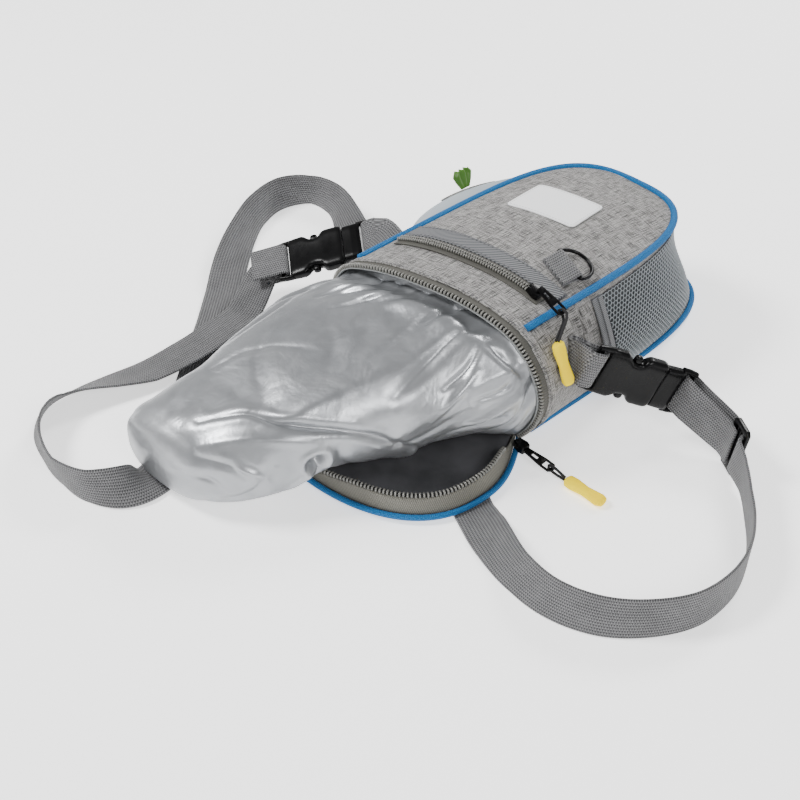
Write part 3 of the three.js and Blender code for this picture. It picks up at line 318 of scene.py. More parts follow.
def link(name, mesh, look, hides=(), body=POUCH):
    """One piece with its look, on its body, in place of the nodes that it hides"""
    piece = bpy.data.objects.new(name, mesh)
    bpy.context.scene.collection.objects.link(piece)
    mesh.materials.append(LOOK[look])
    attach(piece, body)
    if hides:
        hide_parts(*hides)


def mesh_from(name, points, faces, uv=None):
    mesh = bpy.data.meshes.new(name)
    mesh.from_pydata([tuple(p) for p in placed(points)], [], [tuple(f) for f in faces])
    if uv is not None:
        layer = mesh.uv_layers.new(name="weave")
        corners = np.zeros(len(mesh.loops), int)
        mesh.loops.foreach_get("vertex_index", corners)
        layer.data.foreach_set("uv", np.asarray(uv, float)[corners].ravel())
    mesh.shade_smooth()
    mesh.update()
    return mesh


def arc_uv(grid):
    """Arc lengths over a grid in centimetres: along its rows and down its middle column"""
    across = np.linalg.norm(np.diff(grid, axis=1), axis=2)
    u = np.concatenate([np.zeros((len(grid), 1)), np.cumsum(across, axis=1)], 1)
    u -= u[:, -1:] / 2
    v = np.concatenate([[0], np.cumsum(np.linalg.norm(np.diff(grid, axis=0), axis=2).mean(1))])
    return np.stack([u, np.broadcast_to(v[:, None], u.shape)], -1) / 10


def wall(name, outer, inner, look, hides=(), ring=False, cap=False, uv=None):
    """A closed wall between two grids; ring joins its first and last columns, cap fills its last row"""
    rows, columns = outer.shape[:2]
    count, last = rows * columns, (rows - 1) * columns
    points = np.concatenate([outer.reshape(-1, 3), inner.reshape(-1, 3)])
    spans = [(j, (j + 1) % columns) for j in range(columns if ring else columns - 1)]
    faces = []
    for i in range(0, last, columns):
        for j, k in spans:
            a, b, c, d = i + j, i + k, i + columns + k, i + columns + j
            faces += [(a, b, c, d), (count + a, count + d, count + c, count + b)]
    for j, k in spans:
        faces.append((j, count + j, count + k, k))
        if not cap:
            faces.append((last + j, last + k, count + last + k, count + last + j))
    if not ring:
        for a in range(0, last, columns):
            b, c, d = a + columns, a + columns - 1, a + 2 * columns - 1
            faces += [(a, b, count + b, count + a), (c, count + c, count + d, d)]
    flat = (arc_uv(outer) if uv is None else uv).reshape(-1, 2)
    both = np.concatenate([flat, flat])
    if cap:
        for start in (last, count + last):
            hub = len(points)
            points = np.concatenate([points, points[start:start + columns].mean(0, keepdims=True)])
            faces += [(start + j, start + k, hub) if start == last else (start + j, hub, start + k)
                      for j, k in spans]
        both = np.concatenate([both, flat[[-1, -1]]])
    mesh = mesh_from(name, points, faces, both)
    outward_faces(mesh)
    link(name, mesh, look, hides)


def outward_faces(mesh):
    b = bmesh.new()
    b.from_mesh(mesh)
    bmesh.ops.recalc_face_normals(b, faces=b.faces)
    b.to_mesh(mesh)
    b.free()


def section_rings(path, sides, radius, closed=False, toward=(0, 0, 1), squash=1.0):
    """Rings of points round a path"""
    path = np.asarray(path, float)
    along = units(np.roll(path, -1, 0) - np.roll(path, 1, 0)) if closed else directions(path)
    side = units(np.cross(along, np.asarray(toward, float)))
    up = np.cross(side, along)
    turn = np.linspace(0, 2 * math.pi, sides, endpoint=False)
    rim = side[:, None] * np.cos(turn)[None, :, None] + up[:, None] * np.sin(turn)[None, :, None] * squash
    return path[:, None] + rim * radius


def tube_faces(rows, columns, closed=False):
    """Faces of a tube through rings of points, its ends filled unless it closes on itself"""
    faces = []
    for i in range(rows if closed else rows - 1):
        a, b = i * columns, (i + 1) % rows * columns
        faces += [(a + j, a + (j + 1) % columns, b + (j + 1) % columns, b + j) for j in range(columns)]
    if not closed:
        faces.append(tuple(range(columns - 1, -1, -1)))
        faces.append(tuple((rows - 1) * columns + j for j in range(columns)))
    return faces


def tube_mesh(name, rings, uv, closed=False):
    """A tube through rings of points, with its uv in millimetres"""
    mesh = mesh_from(name, rings.reshape(-1, 3), tube_faces(*rings.shape[:2], closed), uv.reshape(-1, 2) / 10)
    outward_faces(mesh)
    return mesh


def tube(name, path, radius, look, hides=(), sides=16, closed=False, toward=(0, 0, 1), body=POUCH):
    rings = section_rings(path, sides, radius, closed, toward)
    uv = np.stack(mesh_of(run_along(rings.mean(1)), run_along(rings[0])), -1)
    link(name, tube_mesh(name, rings, uv, closed), look, hides, body)


def joined_mesh(name, parts):
    """One mesh from (points, faces) parts"""
    points, faces, start = [], [], 0
    for p, f in parts:
        points.append(np.asarray(p, float))
        faces.extend(tuple(i + start for i in face) for face in f)
        start += len(p)
    return mesh_from(name, np.concatenate(points), faces)


def loft(rings):
    """Points and faces of a closed body through rings of points"""
    return rings.reshape(-1, 3), tube_faces(*rings.shape[:2])


def axes_of(along, up):
    """The three axes at each point of a path: along it, to its side and up"""
    side = units(np.cross(along, up))
    return along, side, np.cross(side, along)


def capsule_part(middle, axes, half_sizes, sides=8, rings=4):
    """A small rounded block: half sizes along the three axes"""
    turn = 2 * math.pi * (np.arange(sides) + 0.5) / sides
    tilt = math.pi * np.arange(1, rings)[:, None] / rings
    wide = np.sin(tilt) ** 0.55
    rims = (wide * powered(np.cos(turn), 0.7), wide * powered(np.sin(turn), 0.7), powered(np.cos(tilt), 0.7))
    points = np.stack(np.broadcast_arrays(*rims), -1).reshape(-1, 3)
    points = np.concatenate([points, [(0, 0, 1), (0, 0, -1)]]) * half_sizes
    spans = [(j, (j + 1) % sides) for j in range(sides)]
    low = (rings - 2) * sides
    top, bottom = low + sides, low + sides + 1
    faces = [(i + j, i + sides + j, i + sides + k, i + k) for i in range(0, low, sides) for j, k in spans]
    for j, k in spans:
        faces += [(top, j, k), (low + j, bottom, low + k)]
    return middle + points @ np.asarray(axes), faces


# Materials

class Graph:
    """A material's nodes, made by short calls"""

    def __init__(self, name):
        self.material = bpy.data.materials.new(name)
        self.material.use_nodes = True
        self.tree = self.material.node_tree
        self.shader = self.tree.nodes["Principled BSDF"]

    def add(self, kind, inputs=None, output=0, **settings):
        node = self.tree.nodes.new(kind)
        for key, value in settings.items():
            setattr(node, key, value)
        for key, value in (inputs or {}).items():
            self.put(node.inputs[key], value)
        return node.outputs[output]

    def put(self, socket, value):
        if isinstance(value, bpy.types.NodeSocket):
            self.tree.links.new(value, socket)
        else:
            socket.default_value = value

    def set(self, **values):
        for key, value in values.items():
            self.put(self.shader.inputs[key.replace("_", " ")], value)

    def math(self, operation, a, b=0.5):
        return self.add("ShaderNodeMath", {0: a, 1: b}, operation=operation)

    def total(self, *terms):
        """Sum of sockets, each times its weight"""
        parts = [self.math("MULTIPLY", socket, weight) for socket, weight in terms]
        out = parts[0]
        for part in parts[1:]:
            out = self.math("ADD", out, part)
        return out

    def mix(self, share, a, b):
        return self.add("ShaderNodeMix", {0: share, 6: rgba(a), 7: rgba(b)}, output=2, data_type="RGBA")

    def remap(self, value, low, high, to_low=0.0, to_high=1.0):
        return self.add("ShaderNodeMapRange", {0: value, 1: low, 2: high, 3: to_low, 4: to_high})

    def uv(self):
        return self.add("ShaderNodeUVMap", uv_map="weave")

    def place(self):
        return self.add("ShaderNodeTexCoord", output=3)

    def scaled(self, vector, scale, shift=(0, 0, 0), turn=0.0):
        return self.add("ShaderNodeMapping", {0: vector, 1: shift, 2: (0, 0, turn), 3: scale})

    def noise(self, vector, scale, detail=2.0, roughness=0.5, distortion=0.0):
        inputs = {"Vector": vector, "Scale": scale, "Detail": detail, "Roughness": roughness,
                  "Distortion": distortion}
        return self.add("ShaderNodeTexNoise", inputs)

    def warped(self, vector, scale, reach):
        """Coordinates pushed about by noise"""
        colour = self.add("ShaderNodeTexNoise", {"Vector": vector, "Scale": scale}, output=1)
        push = self.add("ShaderNodeVectorMath", {0: colour, "Scale": reach}, operation="SCALE")
        return self.add("ShaderNodeVectorMath", {0: vector, 1: push}, operation="ADD")

    def axes(self, vector):
        node = self.tree.nodes.new("ShaderNodeSeparateXYZ")
        self.tree.links.new(vector, node.inputs[0])
        return node.outputs

    def wave(self, value, per_unit):
        """A sine of a coordinate, from 0 to 1"""
        inputs = {0: value, 1: 2 * math.pi * per_unit, 2: 0.0}
        turned = self.add("ShaderNodeMath", inputs, operation="MULTIPLY_ADD")
        sine = self.math("SINE", turned)
        return self.add("ShaderNodeMath", {0: sine, 1: 0.5, 2: 0.5}, operation="MULTIPLY_ADD")

    def bump(self, height, distance, strength):
        return self.add("ShaderNodeBump", {"Height": height, "Distance": distance, "Strength": strength})


def rgba(colour):
    """A colour of three numbers with its alpha; anything else as it is"""
    return (*colour, 1) if isinstance(colour, tuple) and len(colour) == 3 else colour


def grey(value, warmth=0.0):
    return (value * (1 + warmth), value, value * (1 - warmth), 1)


def heather_material():
    """Melange linen-like cloth: two sets of slubs over a plain weave"""
    g = Graph("heather_cloth")
    uv = g.uv()
    warp = g.noise(g.scaled(uv, (26, 0.9, 1)), 1, 2, 0.55)
    weft = g.noise(g.scaled(uv, (1.1, 26, 1), (7, 3, 0)), 1, 2, 0.55)
    pale = g.noise(g.scaled(uv, (1.2, 24, 1), (2, 9, 0)), 1, 2, 0.6)
    dark = g.math("MAXIMUM", g.remap(warp, 0.50, 0.60), g.remap(weft, 0.50, 0.60))
    speck = g.noise(g.scaled(uv, (22, 22, 1)), 1, 2, 0.6)
    base = g.mix(g.remap(speck, 0.36, 0.62), grey(0.23, 0.03), grey(0.50, 0.03))
    base = g.mix(g.remap(pale, 0.5, 0.62, 0.0, 0.6), base, grey(0.58, 0.03))
    tone = g.mix(g.math("MULTIPLY", dark, 0.92), base, grey(0.028, 0.02))
    x, y, _ = g.axes(uv)
    height = g.total((g.wave(x, 13), 1.0), (g.wave(y, 13), 1.0), (g.math("MAXIMUM", warp, weft), 3.0))
    g.set(Base_Color=tone, Roughness=0.93, Normal=g.bump(height, 0.00025, 0.8), Sheen_Weight=0.12,
          Specular_IOR_Level=0.25)
    return g.material


# Lighter and darker colour, threads per cm, roughness, relief in metres, scale of the specks
CLOTHS = {
    "blue_piping": ((0.02, 0.19, 0.46), (0.003, 0.045, 0.16), 8, 0.8, 0.0003, 16.0),
    "mouth_hem": ((0.30, 0.31, 0.31), (0.20, 0.21, 0.21), 14, 0.55, 0.0002, 22.0),
    "mesh_net": ((0.33, 0.355, 0.375), (0.23, 0.25, 0.265), 30, 0.7, 0.00005, 22.0),
    # A near-black sheet of painted shade behind the net, standing for the shadow seen through its holes
    "net_painted_shade": ((0.055, 0.06, 0.064), (0.02, 0.022, 0.024), 9, 0.9, 0.0002, 14.0),
    "pale_cloth": ((0.42, 0.465, 0.50), (0.33, 0.37, 0.405), 22, 0.75, 0.00008, 22.0),
    "white_label": ((0.95, 0.955, 0.96), (0.9, 0.905, 0.91), 30, 0.6, 0.00004, 22.0),
    "black_cord": ((0.02, 0.02, 0.021), (0.006, 0.006, 0.006), 12, 0.7, 0.0002, 22.0),
}


def cloth_material(name, light, dark, per_cm, rough, depth, speck_scale):
    """A plain woven cloth of one colour"""
    g = Graph(name)
    uv = g.uv()
    speck = g.noise(g.scaled(uv, (speck_scale, speck_scale, 1)), 1, 2, 0.6)
    tone = g.mix(g.remap(speck, 0.3, 0.7), dark, light)
    x, y, _ = g.axes(uv)
    height = g.total((g.wave(x, per_cm), 1.0), (g.wave(y, per_cm), 1.0), (speck, 1.0))
    g.set(Base_Color=tone, Roughness=rough, Normal=g.bump(height, depth, 0.7), Specular_IOR_Level=0.3)
    return g.material


def webbing_material():
    """Ribbed webbing: u runs along it and v across it, in centimetres"""
    across_per_cm, along_per_cm = 5.6, 7.2
    g = Graph("webbing")
    uv = g.uv()
    x, y, _ = g.axes(uv)
    row = g.math("FLOOR", g.math("MULTIPLY", y, across_per_cm))
    offset = g.math("MULTIPLY", g.math("MODULO", row, 2.0), 0.5)
    ribs = g.wave(g.math("ADD", g.math("MULTIPLY", x, along_per_cm), offset), 1.0)
    cords = g.wave(y, across_per_cm)
    fibre = g.noise(g.scaled(uv, (30, 60, 1)), 1, 2, 0.6)
    cloud = g.noise(g.scaled(uv, (0.7, 1.2, 1)), 1, 2)
    shade = g.total((ribs, 0.45), (cords, 0.35), (fibre, 0.5), (cloud, 0.25))
    tone = g.mix(g.remap(shade, 0.5, 1.1), (0.02, 0.02, 0.0215), (0.21, 0.21, 0.215))
    height = g.total((ribs, 0.9), (cords, 0.8), (fibre, 0.4))
    g.set(Base_Color=tone, Roughness=0.72, Normal=g.bump(height, 0.00035, 0.9), Sheen_Weight=0.1)
    return g.material


# Lighter and darker colour, ribs per cm, turn of the ribs in radians
TWILLS = {
    "dark_tape": ((0.11, 0.106, 0.092), (0.05, 0.049, 0.042), 11, 0.7),
    "zip_tape": ((0.22, 0.212, 0.18), (0.11, 0.107, 0.09), 11, 0.7),
    "twill_band": ((0.225, 0.23, 0.24), (0.028, 0.03, 0.033), 5.2, 0.85),
    "ribbed_binding": ((0.22, 0.225, 0.235), (0.07, 0.07, 0.074), 9, 0.0),
}


def twill_material(name, light, dark, per_cm, turn):
    """Diagonal ribs"""
    g = Graph(name)
    uv = g.uv()
    x, _, _ = g.axes(g.scaled(uv, (1, 1, 1), turn=turn))
    ribs = g.wave(x, per_cm)
    fibre = g.noise(g.scaled(uv, (24, 24, 1)), 1, 2, 0.6)
    tone = g.mix(g.remap(g.total((ribs, 0.7), (fibre, 0.5)), 0.25, 1.0), dark, light)
    g.set(Base_Color=tone, Roughness=0.75, Normal=g.bump(ribs, 0.0002, 0.8))
    return g.material


def foil_material():
    """Aluminium-coloured film, satin, with fine crumple"""
    g = Graph("liner_foil")
    place = g.place()
    fine = g.noise(place, 90, 4, 0.6, 0.6)
    crumb = g.noise(place, 30, 3, 0.55, 0.8)
    cells = g.add("ShaderNodeTexVoronoi", {"Vector": g.warped(place, 26.0, 0.012), "Scale": 24.0},
                  feature="DISTANCE_TO_EDGE")
    height = g.total((crumb, 1.0), (fine, 0.25), (g.remap(cells, 0.0, 0.09), 0.09))
    tone = g.mix(g.remap(crumb, 0.3, 0.7), (0.30, 0.31, 0.325), (0.38, 0.39, 0.405))
    rough = g.remap(fine, 0.3, 0.7, 0.30, 0.42)
    g.set(Base_Color=tone, Roughness=rough, Normal=g.bump(height, 0.0018, 0.5), Metallic=0.74)
    return g.material


def lining_material():
    g = Graph("dark_lining")
    soft = g.noise(g.place(), 45, 3, 0.5, 0.4)
    tone = g.mix(g.remap(soft, 0.3, 0.7), (0.055, 0.056, 0.06), (0.1, 0.1, 0.108))
    g.set(Base_Color=tone, Roughness=g.remap(soft, 0.3, 0.7, 0.28, 0.45), Normal=g.bump(soft, 0.0015, 0.4))
    return g.material


# Colour, roughness, shine
PLASTICS = {
    "zip_teeth": ((0.15, 0.147, 0.132), 0.27, 0.9),
    "zip_core": ((0.008, 0.008, 0.008), 0.6, 0.1),
    "green_film": ((0.065, 0.18, 0.012), 0.35, 0.5),
    "black_plastic": ((0.0012, 0.0012, 0.0014), 0.27, 0.16),
    "yellow_grip": ((0.95, 0.66, 0.0), 0.7, 0.05),
    "thread": ((0.10, 0.10, 0.105), 0.7, 0.5),
    "white_thread": ((0.72, 0.73, 0.74), 0.7, 0.5),
}


def plastic_material(name, colour, rough, shine):
    g = Graph(name)
    place = g.place()
    fine = g.noise(place, 900, 2, 0.5)
    wear = g.noise(place, 60, 3, 0.6)
    worn = tuple(min(1, c * 1.6 + 0.001) for c in colour)
    tone = g.mix(g.remap(wear, 0.3, 0.7, 0.0, 0.25), colour, worn)
    g.set(Base_Color=tone, Roughness=g.remap(wear, 0.3, 0.7, rough - 0.05, rough + 0.08),
          Normal=g.bump(fine, 0.00002, 0.5), Specular_IOR_Level=shine)
    return g.material


def make_looks():
    looks = {"heather_cloth": heather_material(), "liner_foil": foil_material(),
             "dark_lining": lining_material(), "webbing": webbing_material()}
    for table, make in ((CLOTHS, cloth_material), (TWILLS, twill_material), (PLASTICS, plastic_material)):
        looks.update({name: make(name, *values) for name, values in table.items()})
    looks["slot_lips"] = looks["zip_teeth"]
    return looks


make_camera()
make_studio()
LOOK = make_looks()


# Shell

def soft_noise(points, scale, amount, seed=0.0):
    """Smooth noise at points, in millimetres"""
    flat = points.reshape(-1, 3)
    values = [noise.noise(Vector((p[0] / scale + seed, p[1] / scale, p[2] / scale))) for p in flat]
    return np.array(values).reshape(points.shape[:-1]) * amount


def make_shell():
    angles = even_angles(420)
    shares = np.linspace(GUSSET_TRIM, 1 - GUSSET_TRIM, 34)
    raw = gusset(angles[:, None], shares[None, :])
    edge = np.minimum(shares - shares[0], shares[-1] - shares)
    free = np.clip(edge / 0.12, 0, 1)[None, :]
    ripple = soft_noise(raw, *GUSSET_RIPPLE) * free
    along = raw[..., 1] - DART["along"] - DART["sway"] * shares[None, :]
    shoulder = np.exp(-((along + DART["shoulder"]) / DART["spread"]) ** 2)
    dart = DART["depth"] * np.exp(-(along / DART["width"]) ** 2) - 0.5 * DART["depth"] * shoulder
    dart *= np.clip(1 - shares / DART["reach"], 0, 1)[None, :] ** 0.5 * (raw[..., 0] > 0)
    ripple -= dart * free
    outer = lean(gusset(angles[:, None], shares[None, :], ripple))
    inner = lean(gusset(angles[:, None], shares[None, :], ripple - SHELL_THICKNESS))
    wall("gusset_cloth", outer, inner, "heather_cloth", hides=("side_gusset",))

    straight = np.linspace(SHELL_START, FRONT["length"] - FRONT_END, 60)
    ys = np.concatenate([straight, end_rows(FRONT, 30, FRONT_END)])
    across = np.linspace(1, -1, 61)
    half = half_inset(FRONT, ys, CLOTH_EDGE)
    x = half[:, None] * across[None, :]
    y = np.broadcast_to(ys[:, None], x.shape)
    flat = np.stack([x, y, np.zeros_like(x)], -1)
    free = np.clip((1 - np.abs(across)) / 0.1, 0, 1)[None, :]
    ripple = soft_noise(flat, *FRONT_RIPPLE) * free
    wall("front_cloth", on_front(x, y, ripple), on_front(x, y, -FRONT["thickness"]), "heather_cloth",
         hides=("front_panel",))

    ys = np.concatenate([np.linspace(0, BACK["length"] - BACK_END, 30), end_rows(BACK, 24, BACK_END)])
    half = half_inset(BACK, ys, SEAM_INSET)
    x = half[:, None] * np.linspace(1, -1, 31)[None, :]
    y = np.broadcast_to(ys[:, None], x.shape)
    level = np.zeros_like(x)
    wall("back_cloth", np.stack([x, y, level + BACK["thickness"]], -1), np.stack([x, y, level], -1),
         "heather_cloth", hides=("back_panel",))


def end_rows(panel, count, reach):
    """Rows that come closer together towards the round end"""
    share = np.sin(np.linspace(0, math.pi / 2, count + 1)[1:])
    return panel["length"] - reach + (reach - CLOTH_EDGE) * share


def half_inset(panel, y, inset):
    """Half width of a panel moved in from its seam"""
    scale = (panel["length"] - inset) / panel["length"]
    return np.maximum(half_width(panel, y / scale) - inset, 1.0)


def make_pipings():
    angles = even_angles(260)
    radius = PIPING_RADIUS * PIPING_PLUMP
    top = lean(np.column_stack([outline(FRONT, angles), np.full(len(angles), FRONT["height"])]))
    foot = np.column_stack([outline(BACK, angles), np.full(len(angles), radius)])
    for side, path in (("front", top), ("back", foot)):
        tube(f"{side}_cord", path, radius, "blue_piping", (f"{side}_piping",))


# Mouth

def rim_section(count):
    """The mouth's section in x and z, from the right foot over the top to the left foot"""
    shares = np.linspace(1 - GUSSET_TRIM, GUSSET_TRIM, 40)
    right = gusset(0.0, shares)
    edge = FRONT["width"] / 2 - SEAM_INSET
    xs = np.linspace(edge, -edge, 60)[1:-1]
    top = np.stack([xs, np.zeros_like(xs), front_height(xs, 0)], -1)
    left = gusset(math.pi, shares)[::-1]
    points = np.concatenate([right, top, left])
    points[:, 1] = 0
    return resampled(points, count)


def rim_at(y, inset, count=220):
    p = rim_section(count)
    along = directions(p)
    x, z = p[:, 0] - along[:, 2] * inset, p[:, 2] + along[:, 0] * inset
    return lean(np.stack([x, np.full(count, float(y)), z], -1))


def rim_wall(name, ys, insets, look, hides=()):
    """A wall that follows the mouth's rim over some rows, between two insets"""
    outer, inner = [np.stack([rim_at(y, inset) for y in ys]) for inset in insets]
    wall(name, outer, inner, look, hides)


def zip_chain(name, path, up, teeth, hides):
    """Coil teeth along a path: small rounded blocks over a thin dark core"""
    pitch, half_sizes = teeth
    points, along = evenly(path, pitch)
    parts = [capsule_part(p, axes, half_sizes) for p, *axes in zip(points, *axes_of(along, up))]
    core = section_rings(evenly(path, 2.5)[0], 6, min(half_sizes[1:]) * 0.62, toward=(0.01, 0.02, 1))
    link(f"{name}_core", joined_mesh(f"{name}_core", [loft(core)]), "zip_core")
    link(name, joined_mesh(name, parts), "zip_teeth", hides)


def make_mouth():
    tape_ys = np.linspace(TAPE_WIDTH, 0, 10)
    rim_wall("mouth_tape", tape_ys, (0, TAPE_THICKNESS), "dark_tape", ("mouth_zip_tape",))
    path = rim_at(-(TEETH_RADIUS + GAP), TAPE_THICKNESS / 2)
    zip_chain("mouth_teeth", path, (0, -1, 0), MOUTH_TEETH, ("mouth_zip_teeth",))
    rim_wall("mouth_cuff", np.linspace(SHELL_START + 0.8, 4.2, 8), (-0.75, -0.05), "heather_cloth")
    rim_wall("mouth_hem", np.linspace(3, -3.4, 8), (1.5, 2.3), "mouth_hem")


# Lid

def lid_half(share):
    share = np.asarray(share, float)
    near = LID["hinge"] + (1 - LID["hinge"]) * np.sin(math.pi / 2 * np.clip(share / LID["widest"], 0, 1))
    far = np.clip((share - LID["widest"]) / (1 - LID["widest"]), 0, 1)
    return LID["width"] / 2 * np.where(share < LID["widest"], near, (1 - far ** 2.6) ** (1 / 2.2))


def lid_edge(count):
    share = np.linspace(0, 1, 1200)
    side = np.stack([lid_half(share), -GAP - share * LID["length"], np.zeros_like(share)], -1)
    edge = np.concatenate([side, (side * (-1, 1, 1))[::-1][1:]])
    return resampled(edge, count)


def lid_line(inset, height, count=200):
    p = lid_edge(count)
    along = directions(p)
    x = p[:, 0] + along[:, 1] * inset
    y = np.minimum(p[:, 1] - along[:, 0] * inset, -GAP)
    return np.stack([x, y, np.broadcast_to(np.asarray(height, float), x.shape)], -1)


# Along the lid's edge, and share of the band's full height there
BAND_SHARES = [(0, 0.12), (0.035, 0.3), (0.09, 1), (0.4, 1), (0.5, 0.45), (0.6, 0.2), (1, 0.12)]


def band_share(count):
    along, height = zip(*BAND_SHARES)
    value = np.interp(np.linspace(0, 1, count), along, height)
    kernel = np.ones(9) / 9
    return np.convolve(np.pad(value, 4, mode="edge"), kernel, mode="valid")


def lid_sheet(name, inset, low, high, look, hides, ripple=None):
    rows = lid_line(inset, 0, 401)[:201:4]
    across = np.linspace(1, -1, 61)
    x = rows[:, :1] * across[None, :]
    y = np.broadcast_to(rows[:, 1:2], x.shape)
    top = np.stack([x, y, np.full_like(x, high)], -1)
    if ripple:
        top[..., 2] += np.abs(soft_noise(top, *ripple)) * np.clip((1 - np.abs(across)) / 0.1, 0, 1)
    bottom = np.stack([x, y, np.full_like(x, low)], -1)
    wall(name, top, bottom, look, hides)


def make_lid():
    top = LID["thickness"] + GAP
    lid_sheet("lid_cloth", 0, 0, LID["thickness"], "heather_cloth", ("lid_panel",))
    lid_sheet("lid_lining_sheet", 3, top, top + 1, "dark_lining", ("lid_lining",), LINING_RIPPLE)
    path = lid_line(-(LID_PIPING_RADIUS + GAP), LID_PIPING_RADIUS, 240)
    tube("lid_cord", path, LID_PIPING_RADIUS, "blue_piping", ("lid_piping",))
    share = band_share(200)
    outer, inner = [np.stack([lid_line(start + LID_BAND_LEAN * share * r, top + LID_BAND_HEIGHT * share * r)
                              for r in np.linspace(0, 1, 9)]) for start in (0, LID_BAND_THICKNESS)]
    wall("lid_band", outer, inner, "zip_tape", ("lid_zip_tape",))
    inset = LID_BAND_LEAN * share + LID_BAND_THICKNESS / 2
    chain = lid_line(inset, top + LID_BAND_HEIGHT * share + GAP + TEETH_RADIUS)[14:-8]
    zip_chain("lid_teeth", chain, (0, 0, 1), LID_TEETH, ("lid_zip_teeth",))


# Liner

LINER_MIDDLE = 44
# Shares: along of the liner's length, middle and half of the lid's half width, low and high of the
# front seam's height, squareness of the section, and how much of the mouth's own form it keeps
LINER_SECTIONS = [
    (0.08, -0.03, 0.93, 0.055, 1.09, 2.5, 0.45), (0.17, -0.11, 0.90, 0.055, 1.06, 2.4, 0.1),
    (0.27, -0.18, 0.86, 0.045, 1.03, 2.4, 0), (0.38, -0.21, 0.80, 0.035, 1.00, 2.4, 0),
    (0.49, -0.25, 0.72, 0.055, 0.95, 2.5, 0), (0.57, -0.27, 0.67, 0.10, 0.91, 2.5, 0),
    (0.635, -0.29, 0.63, 0.11, 0.87, 2.5, 0), (0.70, -0.31, 0.60, 0.06, 0.82, 2.6, 0),
    (0.78, -0.37, 0.57, 0.02, 0.75, 2.7, 0), (0.87, -0.45, 0.52, 0.02, 0.66, 2.8, 0),
    (0.94, -0.55, 0.45, 0.03, 0.56, 2.8, 0), (0.985, -0.62, 0.31, 0.06, 0.44, 2.6, 0),
    (1.0, -0.65, 0.14, 0.12, 0.34, 2.4, 0),
]
LINER_COLUMNS, LINER_ROWS = 240, 190
FIRST_TURN = -45
FILM = 0.9
RIM_INSET = TAPE_THICKNESS + 2 * GAP


def rim_radius(angles, inset):
    """Distance from the middle of the mouth to its rim in each direction"""
    feet = [(side * (BACK["width"] / 2 - 3), 0, BACK["thickness"] + 1) for side in (-1, 1)]
    loop = np.concatenate([rim_section(120), feet])
    found = np.zeros(len(angles))
    ray = np.stack([np.cos(angles), np.sin(angles)], -1)
    for a, b in zip(loop, np.roll(loop, -1, 0)):
        ex, ez = b[0] - a[0], b[2] - a[2]
        det = ray[:, 0] * -ez + ray[:, 1] * ex
        det = np.where(np.abs(det) < 1e-9, 1e-9, det)
        r = (a[0] * -ez + (a[2] - LINER_MIDDLE) * ex) / det
        u = (ray[:, 0] * (a[2] - LINER_MIDDLE) - ray[:, 1] * a[0]) / det
        hit = (r > found) & (u >= -1e-6) & (u <= 1 + 1e-6)
        found = np.where(hit, r, found)
    return found - inset


def liner_rows():
    """The liner's chosen rings, each with the same angles"""
    angles = np.linspace(0, 2 * math.pi, LINER_COLUMNS, endpoint=False) - math.pi / 4
    c, s = np.cos(angles), np.sin(angles)
    rim = rim_radius(angles, RIM_INSET)
    rows = []
    for y in (LINER_START, 0, -5):
        r = rim - (1.6 if y < 0 else 0)
        rows.append(lean(np.stack([r * c, np.full_like(c, y), LINER_MIDDLE + r * s], -1)))
    half_lid = LID["width"] / 2
    for along, middle, half, low, high, square, keep in LINER_SECTIONS:
        low, high = low * FRONT["height"], high * FRONT["height"]
        x = middle * half_lid + powered(c, 2 / square) * half * half_lid
        z = (low + high) / 2 + powered(s, 2 / square) * (high - low) / 2
        ring = np.stack([x, np.full_like(x, -along * LINER_LENGTH), z], -1)
        mouth_ring = np.stack([rim * c, ring[:, 1], LINER_MIDDLE + rim * s], -1)
        rows.append(lean(ring + (mouth_ring - ring) * keep))
    return np.stack(rows)


def spline_rows(rows, count):
    """Rows resampled evenly along the liner on a smooth curve through the chosen rings"""
    middle = rows.mean(1)
    run = run_along(middle) / run_along(middle)[-1]
    slope = np.gradient(rows, run, axis=0)
    at = np.linspace(0, 1, count)
    k = np.clip(np.searchsorted(run, at, side="right") - 1, 0, len(run) - 2)
    h = (run[k + 1] - run[k])[:, None, None]
    t = ((at - run[k]) / (run[k + 1] - run[k]))[:, None, None]
    return hermite(t, rows[k], h * slope[k], rows[k + 1], h * slope[k + 1])


# Crease between the liner's flat top and its side: along, and degrees round the section
CREASE = [(0, 74), (0.15, 62), (0.3, 56), (0.45, 54), (0.6, 52), (0.74, 52), (0.78, 72), (0.89, 84), (1, 88)]
PLANE_FROM = 158
# What the top keeps of its distance from the plane, and the crest along the crease, in degrees and mm
LEFT_OVER = 0.3
CREST = {"width": 7.0, "height": 3.0}
